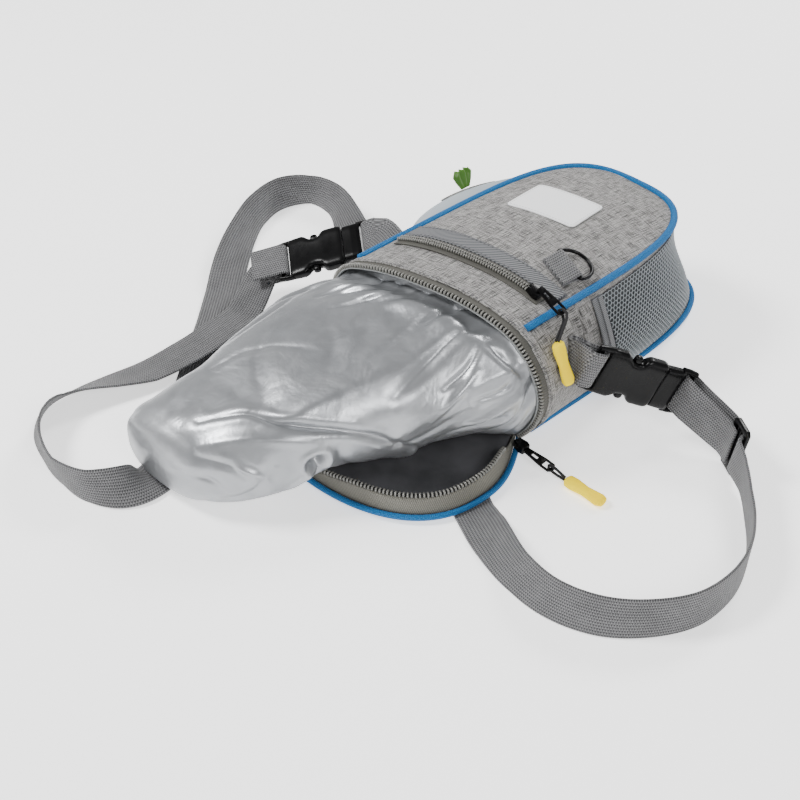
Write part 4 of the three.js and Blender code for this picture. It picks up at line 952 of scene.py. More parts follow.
# Folds pressed in or raised on the liner: points of along and degrees, depth (raised if negative), width
FOLDS = [
    ([(0.89, 85), (0.78, 72), (0.74, 51), (0.65, 26), (0.53, 3), (0.40, -20), (0.30, -35)], 3.2, 4.0),
    ([(0.93, 60), (0.84, 50), (0.75, 32), (0.66, 10)], -2.2, 9),
    ([(0.68, -3), (0.67, -17), (0.69, -31), (0.74, -40)], 4.6, 4.5),
    ([(0.85, -39), (0.78, -34), (0.72, -29)], 3.6, 5),
    ([(0.95, -30), (0.86, -12), (0.80, 10)], 2.4, 6),
    ([(0.21, -35), (0.15, -18), (0.10, -2), (0.06, 8)], 4.5, 5),
    ([(0.28, -9), (0.20, -3), (0.13, 4)], -3.2, 5),
    ([(0.34, -22), (0.25, -14), (0.17, -8)], 2.8, 4),
    ([(0.44, -38), (0.40, -31), (0.37, -20)], -2.6, 4.5),
    ([(0.13, 39), (0.12, 27), (0.10, 15)], 3.4, 4.5),
    ([(0.43, 31), (0.30, 46), (0.15, 57), (0.02, 40)], 2.6, 6),
    ([(0.00, 60), (0.10, 68), (0.24, 72)], 2.6, 4),
    ([(0.00, 88), (0.09, 92), (0.2, 97)], 2.2, 4),
    ([(0.00, 112), (0.10, 114), (0.22, 116)], 2.4, 4.5),
    ([(0.00, 130), (0.07, 131), (0.16, 134)], 2.0, 3.5),
    ([(0.04, 150), (0.16, 148), (0.34, 152)], 2.8, 5),
    ([(0.10, 172), (0.3, 168), (0.5, 172)], 2.6, 6),
    ([(0.5, 120), (0.62, 104), (0.72, 78)], 1.2, 9),
    ([(0.34, 100), (0.46, 82), (0.62, 66)], 1.0, 10),
    ([(0.03, 16), (0.16, 22), (0.34, 10), (0.5, -8)], -1.8, 8),
    ([(0.55, -40), (0.60, -20), (0.62, 0)], 2.2, 5),
    ([(0.70, -8), (0.73, -18), (0.78, -26)], -1.8, 2.6),
    ([(0.95, 50), (0.90, 24), (0.86, 0)], 1.3, 3.4),
    ([(0.89, 20), (0.84, 4), (0.80, -14)], -1.8, 3),
    ([(0.99, 30), (0.94, 6), (0.90, -24)], 1.4, 4),
    ([(0.30, 24), (0.22, 34), (0.12, 44)], 2.2, 2.6),
    ([(0.24, 8), (0.16, 12), (0.08, 20)], 2.4, 2.6),
    ([(0.36, 2), (0.28, 16), (0.20, 30)], -2.0, 3),
    ([(0.46, -12), (0.36, -6), (0.24, 4)], 1.8, 2.6),
    ([(0.42, 64), (0.28, 72), (0.12, 80)], 1.6, 3),
    ([(0.30, 104), (0.18, 100), (0.06, 98)], 1.8, 2.6),
    ([(0.26, 122), (0.14, 122), (0.04, 122)], 1.8, 2.6),
    ([(0.60, 148), (0.44, 142), (0.24, 140)], 1.2, 3.4),
    ([(0.72, 128), (0.58, 112), (0.48, 88)], 0.8, 3.4),
]
# How a fold's section runs, in shares of its width and depth
FOLD = {"core": 0.42, "shoulder": 1.25, "spread": 0.55, "rise": 0.14}
TUCK = {"along": 0.68, "turn": -3, "radius": 7.5, "depth": 5.0, "core": 0.6, "rim": 1.8, "spread": 3.2}
# The film sinks behind the mouth's upper rim before it comes out
SINK = {"along": 0.055, "reach": 0.06, "depth": 7.0, "from": 28, "to": 158, "fade": 25}


def near_line(grid, line, alongs):
    """Distance from each point of the liner to a line drawn on it, and the share along the line"""
    spots = []
    for along, turn in line:
        row = np.interp(along, alongs, np.arange(len(grid)))
        column = (turn - FIRST_TURN) / 360 * grid.shape[1]
        i, j = int(min(row, len(grid) - 2)), int(math.floor(column))
        part_i, part_j = row - i, column - j
        near, far = j % grid.shape[1], (j + 1) % grid.shape[1]
        low, high = [grid[k, near] * (1 - part_j) + grid[k, far] * part_j for k in (i, i + 1)]
        spots.append(low * (1 - part_i) + high * part_i)
    spots = curve_through(np.array(spots), 6)
    best = np.full(grid.shape[:2], 1e9)
    share = np.zeros(grid.shape[:2])
    for k in range(len(spots) - 1):
        a, d = spots[k], spots[k + 1] - spots[k]
        t = np.clip(((grid - a) @ d) / max(d @ d, 1e-9), 0, 1)
        gap = np.linalg.norm(grid - (a + t[..., None] * d), axis=-1)
        closer = gap < best
        best = np.where(closer, gap, best)
        share = np.where(closer, (k + t) / (len(spots) - 1), share)
    return best, share


def curve_through(points, parts):
    out = []
    for i in range(len(points) - 1):
        out += [catmull(points, i, k / parts) for k in range(parts)]
    return out + [points[-1]]


def flattened(grid, alongs):
    """The top of each ring drawn out to a plane between its crease and the far side"""
    turn = np.linspace(0, 360, grid.shape[1], endpoint=False) + FIRST_TURN
    edge = np.interp(alongs, *zip(*CREASE))
    strength = np.interp(alongs, [0.02, 0.2, 0.9, 1], [0, 0.62, 0.62, 0.2])
    out = grid.copy()
    for i, (crease, pull) in enumerate(zip(edge, strength)):
        inside = (turn > crease) & (turn < PLANE_FROM)
        start = grid[i, np.argmin(np.abs(turn - crease))]
        end = grid[i, np.argmin(np.abs(turn - PLANE_FROM))]
        span = end - start
        t = ((grid[i] - start) @ span) / (span @ span)
        chord = start + t[:, None] * span
        target = chord + (grid[i] - chord) * LEFT_OVER
        out[i] = np.where(inside[:, None], grid[i] + (target - grid[i]) * pull, grid[i])
        push = np.exp(-((turn - crease) / CREST["width"]) ** 2) * CREST["height"] * pull
        out[i] += units(grid[i] - grid[i].mean(0)) * push[:, None]
    move = out - grid
    kernel = np.hanning(17)[1:-1]
    kernel /= kernel.sum()
    move = sum(np.roll(move, k - 7, 1) * weight for k, weight in enumerate(kernel))
    padded = np.pad(move, ((7, 7), (0, 0), (0, 0)), mode="edge")
    return grid + sum(padded[k:k + len(grid)] * weight for k, weight in enumerate(kernel))


def make_liner():
    grid = spline_rows(liner_rows(), LINER_ROWS)
    length = -grid[..., 1].mean(1)
    alongs = np.clip(length / LINER_LENGTH, 0, 1)
    grid = flattened(grid, alongs)
    normals = ring_normals(grid)
    relief = np.zeros(grid.shape[:2])
    for line, depth, width in FOLDS:
        gap, share = near_line(grid, line, alongs)
        taper = np.sin(math.pi * np.clip(share, 0.04, 0.96)) ** 0.5
        core = 1 / (1 + (gap / (width * FOLD["core"])) ** 2)
        shoulder = np.exp(-((gap - width * FOLD["shoulder"]) / (width * FOLD["spread"])) ** 2)
        relief -= (depth * core - FOLD["rise"] * depth * shoulder) * taper
    gap, _ = near_line(grid, [(TUCK["along"], TUCK["turn"]), (TUCK["along"] + 0.01, TUCK["turn"])], alongs)
    relief -= TUCK["depth"] * np.exp(-(gap / (TUCK["radius"] * TUCK["core"])) ** 2)
    relief += TUCK["rim"] * np.exp(-((gap - TUCK["radius"]) / TUCK["spread"]) ** 2)
    turn = np.linspace(0, 360, grid.shape[1], endpoint=False) + FIRST_TURN
    upper = np.clip((turn - SINK["from"]) / SINK["fade"], 0, 1)
    upper = upper * np.clip((SINK["to"] - turn) / SINK["fade"], 0, 1)
    sink = np.exp(-((alongs - SINK["along"]) / SINK["reach"]) ** 2)
    relief -= SINK["depth"] * sink[:, None] * upper[None, :]
    relief += sum(soft_noise(grid, *ripple) for ripple in LINER_RIPPLES)
    free = np.clip((length[:, None] + 1) / 8, 0, 1)
    low = np.clip((grid[..., 2] - 4) / 12, 0, 1)
    moved = grid + normals * (relief * free * low)[..., None]
    inner = moved - ring_normals(moved) * FILM
    wall("foil_liner", moved, inner, "liner_foil", ("liner",), ring=True, cap=True, uv=arc_uv(grid))


def ring_normals(grid):
    a = np.gradient(grid, axis=0)
    b = np.roll(grid, -1, 1) - np.roll(grid, 1, 1)
    n = np.cross(b, a)
    n /= np.maximum(np.linalg.norm(n, axis=-1, keepdims=True), 1e-9)
    middle = grid.mean(1, keepdims=True)
    if ((grid - middle) * n).sum() < 0:
        n = -n
    return n


# Front trim

def patch(name, xs, ys, heights, look, hides, columns=80):
    """A sheet on the front between two places across, along and up"""
    y, x = mesh_of(np.linspace(*ys, 10), np.linspace(*xs, columns))
    wall(name, on_front(x, y, heights[1]), on_front(x, y, heights[0]), look, hides)


def turned(x, y, degrees):
    c, s = math.cos(math.radians(degrees)), math.sin(math.radians(degrees))
    return x * c - y * s, x * s + y * c


def make_pocket_zip():
    half, rise = ZIP["width"] / 2, GAP + POCKET_TAPE
    ys = (ZIP["along"] - ZIP["tape"] / 2, ZIP["along"] + ZIP["tape"] / 2)
    patch("pocket_tape", (-half, half), ys, (GAP, rise), "dark_tape", ("pocket_zip_tape",))
    x = np.linspace(-half, half - 10, 120)
    for side, sign in (("near", -1), ("far", 1)):
        path = on_front(x, ZIP["along"] + sign * (ZIP["teeth"] + GAP / 2), rise + GAP + ZIP["teeth"])
        zip_chain(f"pocket_teeth_{side}", path, (0, 0, 1), POCKET_TEETH, (f"pocket_zip_teeth_{side}",))


def make_band_and_label():
    half = BAND["width"] / 2
    heights = (GAP, GAP + BAND["thickness"])
    ys = (BAND["start"], BAND["end"])
    patch("twill_band", (-half, half), ys, heights, "twill_band", ("front_band",), 120)
    v, u = mesh_of(np.linspace(-0.5, 0.5, 29), np.linspace(-0.5, 0.5, 41))
    round_off = 1 - np.clip(np.abs(u) * 2, 0, 1) ** 14 * np.clip(np.abs(v) * 2, 0, 1) ** 14 * 0.05
    x, y = on_label(u * round_off, v * round_off)
    top = on_front(x, y, GAP + LABEL["thickness"])
    wall("label", top, on_front(x, y, GAP), "white_label", ("label_patch",))


def on_label(u, v):
    """Place on the front of a point given in shares of the label's width and length"""
    dx, dy = turned(u * LABEL["width"], v * LABEL["length"], LABEL["turn"])
    return LABEL["across"] + dx, LABEL["along"] + dy


# Webbing

def strip_section(width, thickness, sides=5):
    """Cross-section of webbing with rounded edges: shares of width and thickness"""
    w, t = width / 2, thickness / 2
    columns = np.linspace(-1, 1, 13)
    top = [(c * (w - t), t) for c in columns]
    turn = np.linspace(math.pi / 2, -math.pi / 2, sides)[1:-1]
    right = [(w - t + t * math.cos(a), t * math.sin(a)) for a in turn]
    bottom = [(-c * (w - t), -t) for c in columns]
    left = [(-(w - t) - t * math.cos(a), -t * math.sin(a)) for a in turn]
    return np.array(top + right + bottom + left)


def strip(name, points, across, headings, width, thickness, hides):
    """Webbing through points, each with its width's direction and, where it isn't None, its heading"""
    points = np.asarray(points, float)
    across = np.asarray(across, float)
    along = np.gradient(points, axis=0)
    for i, heading in enumerate(headings):
        if heading is not None:
            along[i] = heading
    along = units(along)
    wide = units(across - along * (across * along).sum(1, keepdims=True))
    thick = np.cross(along, wide)
    section = strip_section(width, thickness)
    rings = points[:, None] + wide[:, None] * section[None, :, :1] + thick[:, None] * section[None, :, 1:]
    uv = np.stack(np.broadcast_arrays(run_along(points)[:, None], section[None, :, 0]), -1)
    link(name, tube_mesh(name, rings, uv), "webbing", hides)


class Local:
    """A local frame: u along the webbing toward the male end, v across, n out of the flat face"""

    def __init__(self, origin, along, across):
        self.origin = np.array(origin, float)
        self.u = unit(along)
        across = np.array(across, float)
        self.v = unit(across - self.u * across.dot(self.u))
        self.n = np.cross(self.u, self.v)

    def at(self, u, v, n):
        return self.origin + self.u * u + self.v * v + self.n * n


# Widest place of the part's gusset beside the mouth
SIDE_X = 78.14
RIGHT = Local((SIDE_X + 35.5, 62.5, 36.5), (0.551, 0.736, -0.394), (0.28, 0.37, 0.88))
LEFT = Local((-SIDE_X - 45, 26, 39), (0.63, 0.72, 0.29), (-0.776, 0.571, 0.27))
SLIDE_AT = Local((167.2, 72.4, 15.6), (0.86, -0.5, -0.05), (0.05, 0.15, 0.987))
SLIDE_BAR = 3
SLIDE_SLOT = SLIDE["length"] / 2 - SLIDE_BAR * 1.5
FEMALE_BAR = -(BUCKLE["female"] - BUCKLE["bar"] / 2 - 0.8)
MALE_BAR = BUCKLE["male"] - BUCKLE["bar"] / 2 - 0.8


def wrap(local, bar, toward, reach_in, reach_out, face=1, flip=1, turns=8):
    """Stations (point, across, heading) of webbing that goes round a buckle's bar"""
    r = BUCKLE["bar"] * math.sqrt(0.5) + 3 * GAP + WEB_THICKNESS / 2
    across, ahead = local.v * flip, local.u * toward
    stations = [(local.at(bar - toward * reach, 0, r * face), across, ahead) for reach in reach_in]
    for s in np.linspace(0, math.pi, turns + 1):
        stations.append((local.at(bar + toward * r * math.sin(s), 0, r * math.cos(s) * face), across, None))
    return stations + [(local.at(bar - toward * reach, 0, -r * face), across, -ahead) for reach in reach_out]


def gusset_normal(angle, share):
    d = 0.004

    def side(a, s):
        return lean(gusset(min(max(a, 0), math.pi), s))

    down = side(angle, share + d) - side(angle, share - d)
    return unit(np.cross(down, side(angle + d, share) - side(angle - d, share)))


def make_side_loops():
    seats = {"right": (RIGHT, FEMALE_BAR, 1, 28, 55), "left": (LEFT, MALE_BAR, -1, 41, 46)}
    for side, (local, bar, toward, along, height) in seats.items():
        angle = float(angle_at(along)) if side == "right" else math.pi - float(angle_at(along))
        share = (FRONT["height"] - height) / SIDE_HEIGHT
        out = gusset_normal(angle, share)
        across = unit(local.v - out * local.v.dot(out))
        apart = np.cross(out, across) * toward
        foot = lean(gusset(angle, share)) + out * 4 * GAP
        turn = wrap(local, bar, toward, [5.5], [5.5], turns=14)
        stations = [(foot + apart * 1.6, across, out)] + turn + [(foot - apart * 1.6, across, -out)]
        points, wide, headings = smooth(stations, 1.5)
        strip(f"loop_{side}", points, wide, headings, WEB_WIDTH, WEB_THICKNESS, (f"side_loop_{side}",))


def smooth(stations, step, lifts=None):
    """A fine run through stations of (point, across, heading), with the width turned evenly"""
    points = [np.array(s[0], float) for s in stations]
    out, wide, headings = [], [], []
    for i in range(len(stations) - 1):
        count = max(1, round(float(np.linalg.norm(points[i + 1] - points[i])) / step))
        for k in range(count):
            share = k / count
            point = catmull(points, i, share)
            across = unit(stations[i][1] * (1 - share) + stations[i + 1][1] * share)
            if lifts and lifts[i] is not None and lifts[i + 1] is not None:
                point[2] = rest_height(across) + lifts[i] * (1 - share) + lifts[i + 1] * share
            out.append(point)
            wide.append(across)
            headings.append(stations[i][2] if k == 0 else None)
    out.append(points[-1])
    wide.append(stations[-1][1])
    headings.append(stations[-1][2])
    return out, wide, headings


def rest_height(across):
    upright = min(abs(across[2]), 1)
    return FLOOR + WEB_WIDTH / 2 * upright + WEB_THICKNESS / 2 * math.sqrt(1 - upright ** 2)


# Middle line of the strap on the surface: x, y, lean from upright toward the left of travel in degrees, lift
STRAP_ROUTE = [
    (185, 56.5, 0, 2.5), (200, 41.5, 0, 0.6), (213.5, 26, 2, 0), (225, 7, 3, 0), (231.5, -16, 0, 0),
    (230, -42, -4, 0),
    (217.5, -65, -9, 0), (198, -83, -14, 0), (172, -92, -18, 0), (145, -90, -28, 0), (118, -80, -52, 0),
    (98, -69.5, -80, 0), (86, -63.5, -90, 0), (60, -49, -90, 0), (0, -18, -90, 0), (-60, 14, -90, 0),
    (-120, 47, -90, 0), (-152, 67, -76, 0), (-180, 81, -48, 0), (-207, 91, -18, 0), (-229, 87, 4, 0),
    (-240, 68, -12, 0), (-235, 42, -22, 0), (-220, 16, -36, 0), (-202, -9, -60, 0), (-181, -33, -84, 0),
    (-160, -57, -90, 0), (-125, -98, -90, 0), (-92, -136, -90, 0), (-70, -163, -90, 0), (-58, -183, -78, 0),
    (-57, -203, -34, 0), (-70, -219, 0, 0), (-93, -224, 12, 0), (-119, -218, 0, 0), (-140, -206, -22, 0),
    (-152, -188, -44, 0), (-152, -168, -56, 0.5), (-147, -147, -72, 2), (-141, -125, -86, 4),
    (-139, -100, -90, 6.5), (-141, -72, -90, 7.5), (-146, -45, -90, 7),
]


def make_strap():
    clear = SLIDE["thickness"] / 2 + 4 * GAP + WEB_THICKNESS / 2
    half = SLIDE["length"] / 2
    bar = RIGHT.at(MALE_BAR, 0, 0)
    hang = Local(bar, SLIDE_AT.origin - bar, RIGHT.v)
    middle = SLIDE_BAR / 2 + SLIDE_SLOT / 2
    stations = [(SLIDE_AT.at(u, 0, clear), SLIDE_AT.v, None) for u in (SLIDE_BAR / 4, -half)]
    stations += wrap(hang, 0, -1, [9, 4.5], [4.5, 9])
    passes = [(-half, -clear), (middle - 2.3, -clear), (middle - 0.5, -1.6), (middle + 0.5, 1.6),
              (middle + 2.3, clear)]
    stations += [(SLIDE_AT.at(u, 0, n), SLIDE_AT.v, None) for u, n in passes]
    lifts = [None] * len(stations)
    route = np.array([row[:2] for row in STRAP_ROUTE], float)
    for i, (x, y, angle, lift) in enumerate(STRAP_ROUTE):
        ahead = route[min(i + 1, len(route) - 1)] - route[max(i - 1, 0)]
        ahead /= np.linalg.norm(ahead)
        left = np.array([-ahead[1], ahead[0], 0])
        across = np.array([0, 0, math.cos(math.radians(angle))]) + left * math.sin(math.radians(angle))
        stations.append((np.array([x, y, rest_height(across) + lift]), across, None))
        lifts.append(lift)
    end = wrap(LEFT, FEMALE_BAR, 1, [13, 6], [6, 13, 20], face=-1, flip=-1)
    stations += end
    lifts += [None] * len(end)
    points, wide, headings = smooth(stations, 2.0, lifts)
    strip("strap_webbing", points, wide, headings, WEB_WIDTH, WEB_THICKNESS, ("strap_right", "strap_left"))


# Ring tab and ring

def make_ring():
    def tab_point(u, v, proud):
        dx, dy = turned(u, v, D_RING["turn"])
        return on_front(D_RING["across"] + dx, D_RING["along"] + dy, proud)

    across = unit(tab_point(1, 0, 0) - tab_point(-1, 0, 0))
    up = unit(np.array([0, 0, 1]) - across * across[2])
    along = np.cross(up, across)
    centre = tab_point(0, 0, 0) + up * 0.75
    tab_wrap = D_RING["wire"] / 2 + GAP + RING_TAB["thickness"] / 2
    rise = GAP + RING_TAB["thickness"] / 2 + tab_wrap
    length, thick = RING_TAB["length"], RING_TAB["thickness"]
    path = [(-length + length * s, rise - tab_wrap) for s in np.linspace(0, 1, 10)]
    path += [(tab_wrap * math.sin(math.pi * s), rise - tab_wrap * math.cos(math.pi * s))
             for s in np.linspace(0, 1, 15)[1:-1]]
    path += [(-length * s, rise + tab_wrap + (thick + GAP - 2 * tab_wrap) * min(s * 1.6, 1))
             for s in np.linspace(0, 1, 14)]
    points = [centre + along * v + up * h for v, h in path]
    strip("ring_webbing", points, [across] * len(points), [None] * len(points), RING_TAB["width"], thick,
          ("ring_tab",))
    half = D_RING["width"] / 2 - D_RING["wire"] / 2
    droop = math.radians(D_RING["droop"])
    ring_along = along * math.cos(droop) - up * math.sin(droop)
    line = [(u, 0.0) for u in np.linspace(-half, half, 24)]
    line += [(half * math.cos(a), (D_RING["depth"] - D_RING["wire"]) * math.sin(a) ** 0.8)
             for a in np.linspace(0, math.pi, 60)[1:-1]]
    path = np.array([centre + across * u + ring_along * v + up * rise for u, v in line])
    for _ in range(2):
        path = (np.roll(path, 1, 0) + 2 * path + np.roll(path, -1, 0)) / 4
    tube("ring_wire", path, D_RING["wire"] / 2, "black_plastic", ("d_ring",), 14, True, up, RING)


# Stitches

def stitches(name, path, up, look="thread", length=STITCH):
    """A line of thread dashes lying on a surface; up is the surface's outward direction"""
    points, along = evenly(path, length * STITCH_PITCH)
    sizes = (length / 2, 0.32, 0.2)
    parts = [capsule_part(p, axes, sizes, sides=6, rings=3) for p, *axes in zip(points, *axes_of(along, up))]
    link(name, joined_mesh(name, parts), look)


def make_stitches():
    half, inset = BAND["width"] / 2 - 0.5, 1.2
    x = np.linspace(half, -half, 90)
    for side, y in (("near", BAND["start"] + inset), ("far", BAND["end"] - inset)):
        stitches(f"band_stitch_{side}", on_front(x, y, GAP + BAND["thickness"] + 0.15), (0, 0, 1))
    cuff_y = 5.6
    rim = rim_at(cuff_y, -0.9)
    out = evenly(rim, STITCH * STITCH_PITCH)[0] - (0, cuff_y, LINER_MIDDLE)
    out[:, 1] = 0
    stitches("cuff_stitch", rim, units(out))
    inset = 1.6
    corner_u, corner_v = 0.5 - inset / LABEL["width"], 0.5 - inset / LABEL["length"]
    corners = np.array([(-1, -1), (1, -1), (1, 1), (-1, 1), (-1, -1)])
    loop = []
    for a, b in zip(corners[:-1], corners[1:]):
        for t in np.linspace(0.03, 0.97, 14):
            u, v = a + (b - a) * t
            loop.append(on_front(*on_label(u * corner_u, v * corner_v), GAP + LABEL["thickness"] + 0.1))
    stitches("label_stitch", np.array(loop), (0, 0, 1), "white_thread", LABEL_STITCH)


# Side pockets

def net_rise(share):
    """How far the net stands off the gusset, most below its middle"""
    return GAP + NET["proud"] * np.sin(math.pi * share ** 1.7)


def make_net_pocket():
    """A honeycomb of threads over a dark sheet of painted shade, with its binding along the open edge"""
    first = run_of(angle_at(NET["start"]))
    last = run_of(even_angles(400)[int(NET["end_turn"] * 399)])
    top, foot = GUSSET_TRIM + 0.03, 1 - GUSSET_TRIM - 0.02
    slack = 0.001
    columns = int((last - first) / NET_PITCH)
    rows = int((foot - top) * SIDE_HEIGHT * NET_FULL / (NET_PITCH * math.sqrt(0.75)))
    half, rise, drop = 0.5 / columns, 2 / (3 * rows), 1 / (3 * rows)
    parts = []

    def on_net(run, share, proud):
        """A point of the pocket, from shares along it and down it"""
        angle = np.interp(first + (last - first) * run, ARC_RUN, ARC_ANGLE)
        return lean(gusset(angle, top + (foot - top) * share, proud))

    def strand(*ends):
        run, share = np.clip(np.transpose(ends), 0, 1)
        p = on_net(run, share, net_rise(share) + 0.5)
        if np.linalg.norm(p[1] - p[0]) < 0.2:
            return
        along = unit(p[1] - p[0])
        n = unit(np.cross(along, (0.3, 0.2, 0.9)))
        m = np.cross(along, n)
        ring = np.array([n, m, -n, -m]) * NET_THREAD
        parts.append(loft(np.stack([p[0] + ring, p[1] + ring])))

    for j in range(rows + 1):
        for i in range(columns + 1):
            x, y = (i + 0.5 * (j % 2)) / columns, j / rows
            if y - rise < -slack or y + drop > 1 + slack:
                continue
            if x + half <= 1 + slack:
                strand((x, y - rise), (x + half, y - drop))
                strand((x + half, y - drop), (x + half, y + drop))
            if half - 1e-9 <= x <= 1 + slack:
                strand((x, y - rise), (x - half, y - drop))
    link("side_net", joined_mesh("net", parts), "mesh_net", ("mesh_pocket",))
    run, share = mesh_of(np.linspace(0, 1, 90), np.linspace(0.01, 0.99, 16))
    # Painted shade: a dark sheet just under the net, so its holes read as shadow
    wall("net_painted_shade", on_net(run, share, 0.9), on_net(run, share, 0.6), "net_painted_shade")

    shares = np.linspace(0, 1, 40)
    bow = 3.2 * np.sin(math.pi * shares * 1.1) - 1.2
    for name, near, proud in (("net_binding", 0, 0), ("net_binding_edge", NET_EDGE_WIDTH * 0.55, 0.9)):
        along = NET["start"] - GAP - 0.4 - (NET_EDGE_WIDTH - near) * (1 - np.linspace(0, 1, 9))
        angle = angle_at(along[:, None] - bow[None, :])
        s = np.broadcast_to((top + (foot - top) * shares)[None, :], angle.shape)
        outer, inner = [lean(gusset(angle, s, net_rise(shares)[None, :] + proud + lift))
                        for lift in (NET_BINDING_RISE, 0)]
        wall(name, outer, inner, "ribbed_binding", ("mesh_edge",) if near == 0 else ())


def pillow(u, v):
    return np.abs(np.sin(math.pi * u)) ** 0.5 * np.abs(np.sin(math.pi * v)) ** 0.42


def dispenser_at(u, v, proud):
    u, v = np.broadcast_arrays(np.asarray(u, float), np.asarray(v, float))
    angle = math.pi - angle_at(DISPENSER["from"] + (DISPENSER["to"] - DISPENSER["from"]) * u)
    share = DISPENSER["top"] + (DISPENSER["bottom"] - DISPENSER["top"]) * v
    rise = GAP + DISPENSER["depth"] * pillow(u, v) + proud
    return lean(gusset(angle, share, rise))


def make_dispenser():
    u, v = mesh_of(np.linspace(0, 1, 90), np.linspace(0, 1, 60))
    thickness = DISPENSER["thickness"]
    outer, inner = dispenser_at(u, v, thickness), dispenser_at(u, v, 0)
    wall("dispenser_cloth", outer, inner, "pale_cloth", ("dispenser_pocket",))
    spot_u, spot_v = 0.56, 0.2
    span = SLOT["length"] / (DISPENSER["to"] - DISPENSER["from"]) / 2
    wide = SLOT["width"] / (FRONT["height"] * (DISPENSER["bottom"] - DISPENSER["top"])) / 2
    u, v = mesh_of(np.linspace(-span, span, 30), np.linspace(-wide, wide, 8))
    base, lips = thickness + GAP * 1.7, 1.2
    outer, inner = [dispenser_at(spot_u + u, spot_v + v, rise) for rise in (base + lips, base)]
    wall("dispenser_zip", outer, inner, "slot_lips", ("dispenser_slot",))
    foot = dispenser_at(spot_u, spot_v, base + lips + GAP * 1.7)
    rise, s = mesh_of(np.linspace(0, 1, 16), np.linspace(-0.5, 0.5, 20))
    wide = np.interp(rise, [0, 0.4, 0.75, 1], [0.45, 0.8, 1, 0.7])
    wave = BAG_TIP_WAVE["height"] * np.sin(s * BAG_TIP_WAVE["turn"]) * rise
    grids = []
    for side in (1, -1):
        x = foot[0] - rise * BAG_TIP["height"] * BAG_TIP["lean"] + wave + side * BAG_TIP["half_thickness"]
        y = foot[1] + s * wide * BAG_TIP["width"]
        z = foot[2] + rise * BAG_TIP["height"] * BAG_TIP["rise"] + 1
        grids.append(np.stack([x, y, z], -1))
    wall("bag_tip", *grids, "green_film", ("waste_bag_tip",))


# Hard pieces

def dressed(name, node, look, bevel, segments=3):
    """A rounded piece made from a CAD node's form"""
    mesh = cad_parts[node].data.copy()
    mesh.name = name
    mesh.materials.clear()
    b = bmesh.new()
    b.from_mesh(mesh)
    bmesh.ops.remove_doubles(b, verts=b.verts, dist=0.00001)
    bmesh.ops.dissolve_limit(b, angle_limit=math.radians(4), verts=b.verts, edges=b.edges)
    sharp = [e for e in b.edges if len(e.link_faces) == 2 and e.calc_face_angle(0) > math.radians(28)]
    bmesh.ops.bevel(b, geom=sharp, offset=bevel * MM, segments=segments, profile=0.5, affect="EDGES",
                    clamp_overlap=True)
    b.to_mesh(mesh)
    b.free()
    mesh.shade_smooth()
    link(name, mesh, look, (node,))
    mesh.set_sharp_from_angle(angle=math.radians(40))


def moulded(local, stations, dish=0.0, count=56):
    """A moulded body through stations of (u, half width, half thickness), its faces slightly dished"""
    u, wide, thick = np.array(sorted(stations), float).T
    at = np.linspace(u[0], u[-1], 70)
    blur = (0.25, 0.5, 0.25)
    half, deep = [np.convolve(np.pad(np.interp(at, u, sizes), 1, mode="edge"), blur, mode="valid")
                  for sizes in (wide, thick)]
    turn = np.linspace(0, 2 * math.pi, count, endpoint=False)
    v = powered(np.cos(turn), 2 / 5.5)
    n = powered(np.sin(turn), 2 / 3.6) * (1 - dish * np.exp(-(v / 0.62) ** 4))
    rings = (local.origin + at[:, None, None] * local.u + (half[:, None] * v)[..., None] * local.v
             + (deep[:, None] * n)[..., None] * local.n)
    return loft(rings)


# Shares of the buckle half's length, half width and half thickness
FEMALE_FORM = [
    (0, 0.90, 0.80), (-0.01, 0.955, 0.95), (-0.06, 1.0, 1.0), (-0.25, 1.0, 1.0), (-0.30, 0.93, 1.0),
    (-0.34, 0.76, 0.97), (-0.42, 0.70, 0.95), (-0.50, 0.75, 0.95), (-0.55, 0.90, 0.95), (-0.60, 0.99, 0.93),
    (-0.72, 0.985, 0.85), (-0.80, 0.97, 0.72), (-0.815, 0.94, 0.6),
]
MALE_FORM = [(0.02, 0.84, 0.7), (0.04, 0.89, 0.86), (0.3, 0.90, 0.88), (0.5, 0.91, 0.8), (0.6, 0.92, 0.62)]


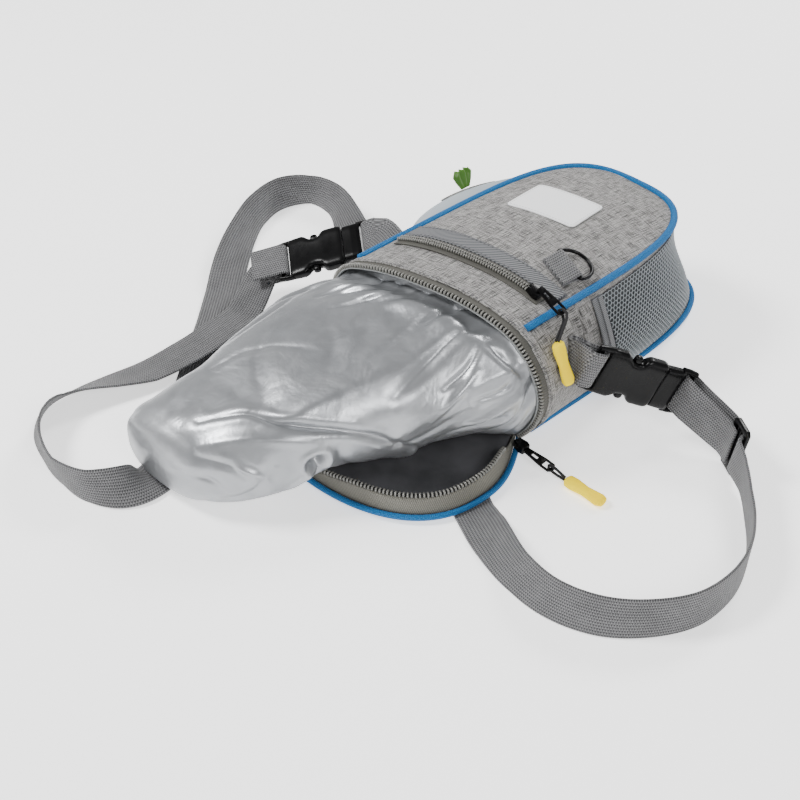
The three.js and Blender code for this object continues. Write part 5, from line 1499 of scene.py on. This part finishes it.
def make_buckle(side, local):
    half, deep = BUCKLE["width"] / 2, BUCKLE["thickness"] / 2
    for kind, form, length, bar in (("female", FEMALE_FORM, BUCKLE["female"], FEMALE_BAR),
                                    ("male", MALE_FORM, BUCKLE["male"], MALE_BAR)):
        stations = [(u * length, w * half, t * deep) for u, w, t in form]
        parts = [moulded(local, stations, 0.16)]
        inner = stations[-1][0] - math.copysign(2, bar)
        end = bar + math.copysign(BUCKLE["bar"] / 2, bar)
        arm = ((inner, 0.9), ((inner + end) / 2, 0.89), (end, 0.84))
        for sign in (1, -1):
            path = [local.at(u, sign * half * share, 0) for u, share in arm]
            parts.append(loft(section_rings(evenly(path, 1)[0], 14, 1.75, toward=local.n, squash=1.25)))
        span = [local.at(bar, v, 0) for v in np.linspace(-half * 0.88, half * 0.88, 12)]
        parts.append(loft(section_rings(span, 14, BUCKLE["bar"] / 2, toward=local.n)))
        if kind == "male":
            for sign in (1, -1):
                middle = local.at(-0.425 * BUCKLE["female"], sign * half * 0.80, 0)
                parts.append(capsule_part(middle, (local.u, local.v, local.n), (2.6, 2.6, 2.3), 16, 10))
        mesh = joined_mesh(f"{kind}_{side}", parts)
        outward_faces(mesh)
        link(f"{kind}_{side}", mesh, "black_plastic", (f"buckle_{kind}_{side}",))
        mesh.set_sharp_from_angle(angle=math.radians(50))


def make_hard_pieces():
    make_buckle("right", RIGHT)
    make_buckle("left", LEFT)
    dressed("slide", "adjuster_slide", "black_plastic", 0.7)
    for pull in ("pocket_pull", "mouth_pull"):
        dressed(f"{pull}_body", f"{pull}_slider", "black_plastic", 0.8)
        dressed(f"{pull}_plate", f"{pull}_tab", "black_plastic", 0.35)
        dressed(f"{pull}_loop", f"{pull}_cord", "black_cord", 0.05, 1)
        dressed(f"{pull}_rubber", f"{pull}_grip", "yellow_grip", 0.05, 1)


make_shell()
make_pipings()
make_mouth()
make_lid()
make_liner()
make_pocket_zip()
make_band_and_label()
make_ring()
make_net_pocket()
make_dispenser()
make_side_loops()
make_strap()
make_hard_pieces()
make_stitches()
